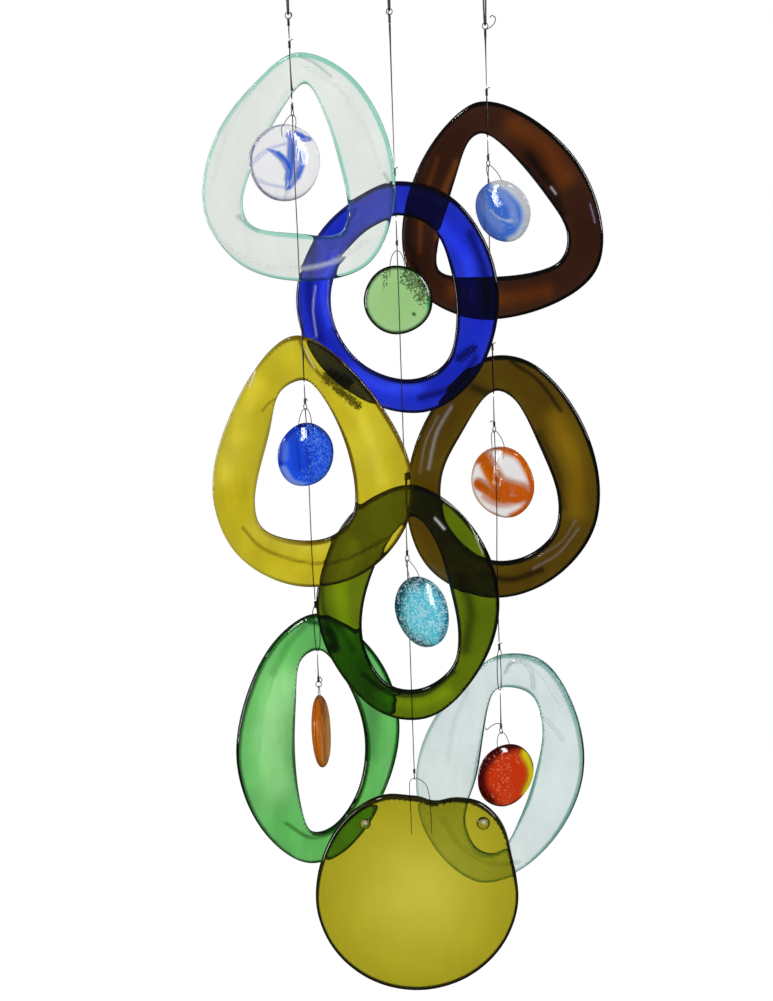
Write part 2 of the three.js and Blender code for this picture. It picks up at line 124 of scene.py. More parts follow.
class ChimeSizes(bpy.types.PropertyGroup):
    """Sizes of the details that the frame leaves to the looks."""

    wrap_wire: FloatProperty(
        name="Wrap wire", description="Diameter of the wire wrapped round each knot",
        default=0.4 * MM, unit="LENGTH",
    )
    ripple: FloatProperty(
        name="Ripple", description="Height of the slow waves that slumping leaves in the glass",
        default=0.16 * MM, unit="LENGTH",
    )
    floor_drop: FloatProperty(
        name="Floor drop", description="From the bottom of the chime down to the floor",
        default=0.35, unit="LENGTH",
    )
    glass_levels: IntProperty(
        name="Glass levels", description="Subdivision levels of the slumped rings", default=4, min=1, max=5,
    )


# ---- Meshes ----
def only(piece):
    """Selects one object and nothing else."""
    bpy.ops.object.select_all(action="DESELECT")
    piece.select_set(True)
    bpy.context.view_layer.objects.active = piece


def primitive(make, name, **settings):
    """Adds a primitive by its operator, and names it."""
    bpy.ops.object.select_all(action="DESELECT")
    make(**settings)
    piece = bpy.context.object
    piece.name = name
    return piece


def apply_modifier(piece, kind, settings):
    """Adds a modifier with its settings and applies it."""
    modifier = piece.modifiers.new(kind.title(), kind)
    for key, value in settings.items():
        setattr(modifier, key, value)
    only(piece)
    bpy.ops.object.modifier_apply(modifier=modifier.name)


def smooth_copy(node, name, levels):
    """A CAD node's copy as merged quads, rounded by subdivision, that stands for the node."""
    piece = bpy.data.objects.new(name, frame["nodes"][node].data.copy())
    bpy.context.scene.collection.objects.link(piece)
    only(piece)
    bpy.ops.mesh.customdata_custom_splitnormals_clear()
    bpy.ops.object.mode_set(mode="EDIT")
    bpy.ops.mesh.select_all(action="SELECT")
    bpy.ops.mesh.remove_doubles(threshold=MERGE)
    bpy.ops.mesh.tris_convert_to_quads(face_threshold=math.pi, shape_threshold=math.pi)
    bpy.ops.object.mode_set(mode="OBJECT")
    apply_modifier(piece, "SUBSURF", {"levels": levels, "render_levels": levels})
    bpy.ops.object.shade_smooth()
    piece.data.materials.clear()
    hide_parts(node)
    return piece


def body_of(node):
    """The name of the body that holds a CAD node."""
    bodies = frame["record"]["behaviour"]["bodies"]
    return next(body for body, members in bodies.items() if node in members)


def corners(piece):
    """A mesh's corners as rows of numbers."""
    values = np.zeros(len(piece.data.vertices) * 3)
    piece.data.vertices.foreach_get("co", values)
    return values.reshape(-1, 3)


def set_corners(piece, values):
    """Moves a mesh's corners to new places."""
    piece.data.vertices.foreach_set("co", values.astype(np.float32).ravel())
    piece.data.update()


def normals(piece):
    """The outward direction at each corner."""
    values = np.zeros(len(piece.data.vertices) * 3)
    piece.data.vertices.foreach_get("normal", values)
    return values.reshape(-1, 3)


def store(piece, name, values):
    """Keeps one number per corner as an attribute that a material reads."""
    attribute = piece.data.attributes.new(name, "FLOAT", "POINT")
    attribute.data.foreach_set("value", values.astype(np.float32))


def distance_to_path(points, path):
    """How far each point [x, z] lies from a bent line through the path's points."""
    best = np.full(len(points), np.inf)
    for a, b in zip(path[:-1], path[1:]):
        a, b = np.array(a), np.array(b)
        along = b - a
        share = np.clip(((points - a) @ along) / (along @ along), 0, 1)
        best = np.minimum(best, np.linalg.norm(points - a - share[:, None] * along, axis=1))
    return best


def rounded(path, count=24):
    """A smooth path of more points through a few."""
    points = [np.array(p, float) for p in path]
    ends = [2 * points[0] - points[1], *points, 2 * points[-1] - points[-2]]
    steps = max(1, count // (len(points) - 1))
    result = []
    for a, b, c, d in zip(ends, ends[1:], ends[2:], ends[3:]):
        for step in range(steps):
            t = step / steps
            curve = (2 * a - 5 * b + 4 * c - d) * t**2 + (3 * b - a - 3 * c + d) * t**3
            result.append(0.5 * (2 * b + (c - a) * t + curve))
    result.append(points[-1])
    return result


# ---- Materials ----
MIX, MATH, NOISE, RAMP = "ShaderNodeMix", "ShaderNodeMath", "ShaderNodeTexNoise", "ShaderNodeValToRGB"
NUMBERS = {"data_type": "FLOAT"}
COLOURS = {"data_type": "RGBA"}
PRODUCT = {"data_type": "RGBA", "blend_type": "MULTIPLY", 0: 1.0}
# A mix's sockets: the share of its second input, its inputs as numbers and as colours, and its colour.
SHARE, NUMBER_1, NUMBER_2, COLOUR_1, COLOUR_2, COLOUR = 0, 2, 3, 6, 7, 2
WHITE = (1, 1, 1, 1)
GLASS_IOR = 1.5
RING_THICKNESS = 3.8 * MM
NUGGET_THICKNESS = 6.4  # millimetres


def add(tree, kind, settings=None, links=None):
    """Adds a node with its settings, which are sockets, plain values or a ramp's stops, and its links."""
    node = tree.nodes.new(kind)
    for key, value in (settings or {}).items():
        if key == "stops":
            while len(node.color_ramp.elements) < len(value):
                node.color_ramp.elements.new(0.5)
            for element, (position, shade) in zip(node.color_ramp.elements, value):
                element.position = position
                element.color = (shade, shade, shade, 1)
        elif isinstance(key, int) or key in node.inputs:
            node.inputs[key].default_value = value
        else:
            setattr(node, key, value)
    for key, source in (links or {}).items():
        tree.links.new(source, node.inputs[key])
    return node


def new_material(name):
    """A material with an empty tree of nodes, and the tree."""
    material = bpy.data.materials.new(name)
    material.use_nodes = True
    material.node_tree.nodes.clear()
    return material, material.node_tree


def opaque(colour):
    """A colour with full alpha, as a node's socket takes it."""
    return (*colour, 1.0)


def absorbing(colour, thickness):
    """The colour and density of an absorption that gives a colour after so many metres of glass."""
    taken = [-math.log(max(0.002, min(0.995, c))) / thickness for c in colour]
    density = 1.02 * max(taken)
    return [1 - t / density for t in taken], density


def bottle_glass(name, body, thin, rim, cloudy=1.0, ripple=0.25):
    """Slumped soda-lime bottle glass, fire-polished in the kiln: clear deep colour with painted shade along
    the rounded edges and the folds, lighter where the glass ran thin, with white painted highlights, slow
    ripples and a few seeds (tiny bubbles). Its attributes say where the painted rim shade, the folds, the
    stains, the thin glass and the painted highlights lie."""
    material, tree = new_material(name)
    place = add(tree, "ShaderNodeTexCoord").outputs["Object"]
    marks = {
        key: add(tree, "ShaderNodeAttribute", {"attribute_name": key}).outputs["Fac"]
        for key in ("rim", "fold", "stain", "thin", "gleam")
    }
    # The depth of the glass carries the colour of its thin parts, and its skin the rest.
    skin = [min(1.0, b / max(t, 0.002)) for b, t in zip(body, thin)]
    # Slow clouds of thicker and thinner glass, about 25 mm across, and streaks 6 mm wide that flow down.
    clouds = add(tree, NOISE, {"Scale": 1 / (25 * MM), "Detail": 2.0}, {"Vector": place})
    stops = [(0.3, 1 - 0.22 * cloudy), (0.65, 1.0)]
    cloud = add(tree, RAMP, {"stops": stops}, {"Fac": clouds.outputs["Fac"]})
    drawn = add(tree, "ShaderNodeMapping", {"Scale": (1, 1, 0.3)}, {"Vector": place})
    streaks = add(tree, NOISE, {"Scale": 1 / (6 * MM), "Detail": 2.0}, {"Vector": drawn.outputs[0]})
    stops = [(0.35, 1 - 0.12 * cloudy), (0.6, 1.0)]
    streak = add(tree, RAMP, {"stops": stops}, {"Fac": streaks.outputs["Fac"]})
    tone = add(tree, MIX, PRODUCT, {COLOUR_1: cloud.outputs["Color"], COLOUR_2: streak.outputs["Color"]})
    coat = add(tree, MIX, {**COLOURS, COLOUR_1: opaque(skin), COLOUR_2: WHITE}, {SHARE: marks["thin"]})
    toned = add(tree, MIX, PRODUCT, {COLOUR_1: coat.outputs[COLOUR], COLOUR_2: tone.outputs[COLOUR]})
    # A colour is shared between the two skins that light passes, so the painted shade of a rim, seen through
    # one skin, is squared. Stains are blots of soot-like grains, 0.9 mm across, denser towards the middle of
    # the blot.
    # Folds take a darker painted shade, and painted highlights are plain white.
    grains = add(tree, NOISE, {"Scale": 1 / (0.9 * MM), "Detail": 3.0}, {"Vector": place})
    soot = add(tree, MATH, {"operation": "ADD"}, {0: grains.outputs["Fac"], 1: marks["stain"]})
    grain = add(tree, RAMP, {"stops": [(0.86, 0.0), (0.98, 1.0)]}, {"Fac": soot.outputs[0]})
    dark = [s * r**2 for s, r in zip(skin, rim)]
    fold_shade = [s * (0.2 + 0.8 * r) ** 2 * 0.5 for s, r in zip(skin, rim)]
    sooty = [d * 0.12 for d in skin]
    highlight_white = (1, 1, 1)
    seen = toned
    for share, colour in (
        (marks["rim"], dark), (marks["fold"], fold_shade),
        (grain.outputs["Color"], sooty), (marks["gleam"], highlight_white),
    ):
        settings = {**COLOURS, COLOUR_2: opaque(colour)}
        seen = add(tree, MIX, settings, {SHARE: share, COLOUR_1: seen.outputs[COLOUR]})
    ripples = add(tree, NOISE, {"Scale": 1 / (11 * MM), "Detail": 1.0}, {"Vector": place})
    seeds = add(tree, "ShaderNodeTexVoronoi", {"Scale": 1 / (8 * MM)}, {"Vector": place})
    seed = add(tree, RAMP, {"stops": [(0.0, 0.1), (0.05, 0.0)]}, {"Fac": seeds.outputs["Distance"]})
    height = add(tree, MATH, {"operation": "ADD"}, {0: ripples.outputs["Fac"], 1: seed.outputs["Color"]})
    relief = {"Strength": ripple, "Distance": 1.2 * MM}
    bump = add(tree, "ShaderNodeBump", relief, {"Height": height.outputs[0]})
    # Painted highlights let less light through, so that they show as lit white streaks.
    clear = add(tree, MATH, {"operation": "MULTIPLY_ADD", 1: -0.75, 2: 1.0}, {0: marks["gleam"]})
    shader = add(
        tree, "ShaderNodeBsdfPrincipled", {"Roughness": 0.025, "IOR": GLASS_IOR},
        {
            "Base Color": seen.outputs[COLOUR], "Normal": bump.outputs["Normal"],
            "Transmission Weight": clear.outputs[0],
        },
    )
    tint, density = absorbing(thin, RING_THICKNESS)
    depth = add(tree, "ShaderNodeVolumeAbsorption", {"Color": opaque(tint), "Density": density})
    add(tree, "ShaderNodeOutputMaterial", links={"Surface": shader.outputs[0], "Volume": depth.outputs[0]})
    return material


def annealed_wire(name, hex_colour, rough):
    """Annealed binding wire, drawn and heat-blackened: dull dark steel with fine lighter drawing marks."""
    material, tree = new_material(name)
    place = add(tree, "ShaderNodeTexCoord").outputs["Object"]
    drawn = add(tree, "ShaderNodeMapping", {"Scale": (1, 1, 0.1)}, {"Vector": place})
    # Drawing marks 0.6 mm across and 6 mm long, coarser than real ones so that they show.
    marks = add(tree, NOISE, {"Scale": 1 / (0.6 * MM), "Detail": 4.0}, {"Vector": drawn.outputs[0]})
    base = linear(hex_colour)
    dull, worn = opaque([c * 0.6 for c in base]), opaque([min(1, c * 1.5) for c in base])
    colour = add(tree, MIX, {**COLOURS, COLOUR_1: dull, COLOUR_2: worn}, {SHARE: marks.outputs["Fac"]})
    relief = {"Strength": 0.3, "Distance": 0.05 * MM}
    bump = add(tree, "ShaderNodeBump", relief, {"Height": marks.outputs["Fac"]})
    shader = add(
        tree, "ShaderNodeBsdfPrincipled", {"Metallic": 1.0, "Roughness": rough},
        {"Base Color": colour.outputs[COLOUR], "Normal": bump.outputs["Normal"]},
    )
    add(tree, "ShaderNodeOutputMaterial", links={"Surface": shader.outputs[0]})
    return material


# ---- Rings ----
# Each ring's thin colour, the colour of the painted shade along its rim, how much lighter that painted shade
# is on the left, and its marks. A mark is its kind, its width and its height in millimetres (negative for a
# groove), its strength, and its path of [x, z] points in millimetres from the knot. A fold mark paints shade
# along its ridge or groove, and the white marks are painted highlights on raised lines.
RINGS = {
    "clear_ring": {
        "thin": "#f8faf7", "rim": (0.58, 0.84, 0.77), "bright_left": 0.3,
        "marks": [
            ("gleam", 0.9, 0.8, 0.4, [(-41, -60), (-36, -74), (-24, -86), (-6, -91), (14, -89), (30, -80)]),
            ("gleam", 0.8, 0.5, 0.35, [(6, -6), (20, -16), (31, -34), (36, -50)]),
            ("fold", 0.6, 0.6, 0.5, [(38, -52), (43, -62), (42, -72)]),
            ("fold", 0.9, 0.8, 0.6, [(-25, -68), (-20, -72), (-17, -74)]),
            ("fold", 0.9, 0.8, 0.6, [(17, -76), (21, -73), (25, -67)]),
            ("fold", 0.5, 0.4, 0.5, [(4, -2), (10, -5), (17, -11)]),
            ("gleam", 0.8, 0.5, 0.3, [(-16, -14), (-28, -32), (-35, -52)]),
            ("gleam", 0.8, 0.5, 0.3, [(-2, -16), (-12, -34), (-20, -60)]),
        ],
    },
    "yellow_ring": {
        "thin": "#e8d840", "rim": (0.42, 0.36, 0.12), "bright_left": 0.85,
        "marks": [
            ("fold", 0.5, 0.5, 0.85, [(-30, -85), (-21, -95), (-2, -102), (15, -101), (34, -92)]),
            ("fold", 0.45, 0.4, 0.6, [(-19, -33), (-15, -29), (-10, -27)]),
            ("fold", 0.8, -0.3, 0.9, [(-1, -3), (2, -11), (7, -18)]),
            ("fold", 0.6, 0.3, 0.7, [(10, -21), (17, -27), (23, -32)]),
            ("gleam", 0.35, 0.3, 0.8, [(1, -6), (3, -11), (5, -15)]),
            ("stain", 5.0, 0.0, 0.62, [(11, -19), (18, -22)]),
            ("stain", 3.0, 0.0, 0.55, [(14, -24), (23, -32)]),
            ("thin", 4.0, 0.3, 0.8, [(-20, -22), (-30, -40), (-36, -62)]),
            ("thin", 3.0, 0.2, 0.7, [(20, -30), (28, -48), (32, -66)]),
            ("thin", 5.0, 0.2, 0.5, [(-24, -86), (-4, -93), (16, -92)]),
            ("gleam", 0.5, 0.2, 0.7, [(-24, -22), (-22, -18), (-21, -15)]),
            ("gleam", 0.4, 0.2, 0.6, [(-37, -40), (-41, -54), (-42, -66)]),
        ],
    },
    "green_ring": {
        "thin": "#a8ec9e", "rim": (0.04, 0.2, 0.04), "bright_left": 0.1,
        "marks": [
            ("fold", 1.2, 0.5, 0.9, [(-6, -3), (4, -7), (10, -14)]),
            ("fold", 0.9, 0.4, 0.7, [(8, -4), (14, -12), (19, -22)]),
            ("fold", 2.0, 0.5, 0.8, [(15, -34), (20, -52), (21, -70), (15, -88)]),
            ("fold", 6.0, 0.0, 0.4, [(24, -30), (29, -52), (27, -74)]),
            ("fold", 0.7, 0.5, 0.7, [(-22, -96), (-8, -107), (8, -106), (14, -98)]),
            ("stain", 2.2, 0.0, 0.7, [(9, -16), (10, -19)]),
            ("fold", 1.4, 0.4, 0.45, [(-25, -24), (-17, -13), (-7, -5)]),
            ("thin", 9.0, 0.3, 1.0, [(-22, -30), (-28, -52), (-27, -76)]),
            ("gleam", 0.5, 0.2, 0.3, [(-22, -22), (-29, -38), (-33, -58)]),
        ],
    },
    "cobalt_ring": {
        "thin": "#2c44fa", "rim": (0.03, 0.03, 0.16), "bright_left": 0.3,
        "marks": [
            ("thin", 1.2, 0.5, 1.0, [(-27, -30), (-33, -46), (-31, -62)]),
            ("fold", 2.2, 0.3, 0.6, [(-36, -28), (-39, -48), (-35, -68)]),
            ("thin", 3.0, 0.3, 0.9, [(20, -20), (30, -36), (33, -54)]),
            ("fold", 2.0, 0.3, 0.7, [(32, -24), (38, -42), (38, -58)]),
            ("fold", 1.6, 0.4, 0.7, [(8, -95), (24, -90), (33, -78)]),
            ("thin", 2.6, 0.3, 0.8, [(-22, -82), (-8, -90), (8, -91)]),
            ("gleam", 0.45, 0.8, 0.75, [(-36, -44), (-37.5, -54), (-36.5, -66)]),
            ("gleam", 0.35, 0.4, 0.4, [(-30, -40), (-31, -52), (-29, -62)]),
            ("stain", 4.0, 0.0, 0.5, [(26, -78), (32, -74)]),
        ],
    },
    "moss_ring": {
        "thin": "#84a008", "rim": (0.06, 0.08, 0.03), "bright_left": 0.0,
        "marks": [
            ("fold", 0.9, 0.5, 0.9, [(-22, -88), (-10, -97), (6, -98), (20, -88)]),
            ("gleam", 0.35, 0.4, 0.7, [(16, -7), (27, -17), (34, -33)]),
            ("gleam", 0.6, 0.6, 0.9, [(13, -16), (17, -21)]),
            ("fold", 2.4, 0.4, 0.6, [(24, -44), (28, -60), (25, -78)]),
            ("thin", 3.6, 0.3, 0.8, [(-24, -28), (-31, -48), (-29, -70)]),
            ("thin", 3.0, 0.3, 0.7, [(-14, -98), (2, -103), (16, -98)]),
            ("fold", 1.4, 0.3, 0.6, [(-36, -32), (-39, -52), (-34, -74)]),
        ],
    },
    "brown_ring": {
        "thin": "#6a350c", "rim": (0.08, 0.06, 0.05), "bright_left": 0.2,
        "marks": [
            ("thin", 4.5, 0.4, 0.9, [(12, -11), (24, -20), (33, -34)]),
            ("fold", 2.0, 0.4, 0.7, [(18, -24), (26, -36), (32, -50)]),
            ("thin", 1.4, 0.4, 0.8, [(-14, -26), (-20, -40), (-23, -58)]),
            ("thin", 1.0, 0.3, 0.6, [(-22, -24), (-29, -44), (-31, -64)]),
            ("fold", 2.4, 0.4, 0.6, [(-32, -34), (-36, -56), (-32, -74)]),
            ("thin", 3.6, 0.3, 0.7, [(-16, -82), (4, -86), (24, -83)]),
            ("gleam", 0.5, 0.5, 0.8, [(27, -38), (29, -41)]),
            ("gleam", 0.3, 0.4, 0.6, [(30, -62), (29, -67)]),
            ("gleam", 0.35, 0.4, 0.5, [(44, -46), (46, -54)]),
        ],
    },
    "olive_ring": {
        "thin": "#8a6a06", "rim": (0.05, 0.05, 0.03), "bright_left": 0.3,
        "marks": [
            ("gleam", 0.9, 1.2, 0.5, [(-19, -22), (-26, -34), (-30, -50)]),
            ("gleam", 0.5, 1.2, 0.35, [(-25, -26), (-31, -38), (-34, -52)]),
            ("gleam", 0.5, 1.2, 0.3, [(16, -98), (28, -91), (37, -80)]),
            ("gleam", 0.4, 1.2, 0.25, [(18, -93), (29, -86), (36, -76)]),
            ("thin", 5.0, 0.3, 0.8, [(27, -30), (36, -52), (36, -72)]),
            ("fold", 0.8, 0.5, 0.8, [(8, -3), (20, -12), (30, -26)]),
            ("fold", 1.8, 0.3, 0.5, [(20, -36), (28, -54), (30, -70)]),
            ("fold", 2.2, 0.3, 0.7, [(-9, -14), (-2, -17), (6, -18)]),
            ("fold", 1.4, 0.3, 0.8, [(-8, -100), (6, -103), (20, -99)]),
        ],
    },
    "aqua_ring": {
        "thin": "#f7fbfb", "rim": (0.42, 0.6, 0.57), "bright_left": 0.4,
        "marks": [
            ("fold", 0.6, 0.8, 0.6, [(3, -10), (6, -5), (12, -4), (16, -8), (17, -16)]),
            ("fold", 0.5, 0.5, 0.45, [(20, -28), (26, -33), (31, -39)]),
            ("fold", 0.6, 0.4, 0.5, [(-32, -84), (-22, -97), (-8, -104), (8, -102)]),
            ("gleam", 0.5, 0.3, 0.5, [(8, -3), (20, -10), (29, -24)]),
            ("gleam", 0.9, 0.3, 0.3, [(-16, -20), (-24, -38), (-28, -58)]),
        ],
    },
}


def turned(points, middle, angle):
    """Points turned about the upright line through a middle."""
    c, s = math.cos(angle), math.sin(angle)
    x, y, z = (points - middle).T
    return np.stack([x * c - y * s, x * s + y * c, z], 1) + middle


def pivot_of(body):
    """The joint of a body, as the point that it turns about."""
    return np.array(next(j["pos_m"] for j in frame["joints"] if j["child"] == body))


def facing(piece, pivot):
    """The turn of a flat piece about its upright pivot, from the spread of its corners."""
    flat = (corners(piece) - pivot)[:, :2]
    _, vectors = np.linalg.eigh(np.cov(flat.T))
    along = vectors[:, 1] * (1 if vectors[0, 1] > 0 else -1)
    return math.atan2(along[1], along[0])


def band_edges(flat):
    """How far each point of a ring lies from the nearer of its outer edge and its hole, and how far up that
    edge faces, from -1 to 1."""
    middle = (flat.max(0) + flat.min(0)) / 2
    from_middle = flat - middle
    angle = np.arctan2(from_middle[:, 1], from_middle[:, 0])
    radius = np.linalg.norm(from_middle, axis=1)
    slices = 180
    index = ((angle + math.pi) / (2 * math.pi) * slices).astype(int) % slices
    outer, inner = np.zeros(slices), np.full(slices, np.inf)
    np.maximum.at(outer, index, radius)
    np.minimum.at(inner, index, radius)
    from_outer, from_hole = outer[index] - radius, radius - inner[index]
    up = from_middle[:, 1] / radius
    return np.minimum(from_outer, from_hole), np.where(from_outer < from_hole, up, -up)


def shape_ring(name, facts, sizes):
    """A slumped ring: the CAD band, fire-rounded, rippled and folded."""
    piece = smooth_copy(name, name.replace("_ring", "_glass"), sizes.glass_levels)
    pivot = pivot_of(name)
    pivot[2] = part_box(name)[1].z
    angle = facing(piece, pivot)
    points = corners(piece)
    local = (turned(points, pivot, -angle) - pivot) / MM
    flat = local[:, [0, 2]]
    depth, up = band_edges(flat)
    front = np.clip(-local[:, 1] / 1.2, 0, 1)
    wave = (
        np.sin(flat[:, 0] / 7.1 + 1.3 * np.sin(flat[:, 1] / 11.0))
        + np.sin(flat[:, 1] / 6.3 + 0.9 * np.sin(flat[:, 0] / 8.7))
    )
    lift = 0.5 * sizes.ripple * wave * np.clip(depth / 3, 0, 1)
    marks = {key: np.zeros(len(points)) for key in ("fold", "gleam", "thin", "stain")}
    for kind, width, height, strength, path in facts["marks"]:
        away = distance_to_path(flat, rounded(path))
        shape = np.exp(-((away / width) ** 2))
        lift += 0.5 * height * MM * shape * front
        marks[kind] = np.maximum(marks[kind], strength * shape)
    set_corners(piece, points + normals(piece) * lift[:, None])
    # Painted shade along the edge's rounding: darker where the edge faces up, lighter to the left, and fading
    # a little way into the band.
    reach = 1.7 + 0.7 * np.clip(up, 0, 1) + 0.4 * np.clip(flat[:, 0] / 40, 0, 1)
    marks["rim"] = np.clip((reach - depth) / 0.6, 0, 1)
    marks["rim"] *= 1 - facts["bright_left"] * np.clip(-flat[:, 0] / 30, 0, 1)
    marks["rim"] += 0.15 * np.exp(-depth / 4) * (1 - marks["rim"])
    for key, values in marks.items():
        store(piece, key, values)
    return piece


class CHIME_OT_rings(bpy.types.Operator):
    """Makes the eight slumped glass rings"""

    bl_idname = "chime.rings"
    bl_label = "Add glass rings"

    def execute(self, context):
        colours, sizes = context.scene.chime_colours, context.scene.chime_sizes
        for name, facts in RINGS.items():
            piece = shape_ring(name, facts, sizes)
            body = list(getattr(colours, name))
            piece.data.materials.append(
                bottle_glass(
                    name.replace("_ring", "_bottle_glass"), body, linear(facts["thin"]), facts["rim"],
                    cloudy=0.4 if min(body) > 0.5 else 1.0,
                )
            )
            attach(piece, name)
        return {"FINISHED"}
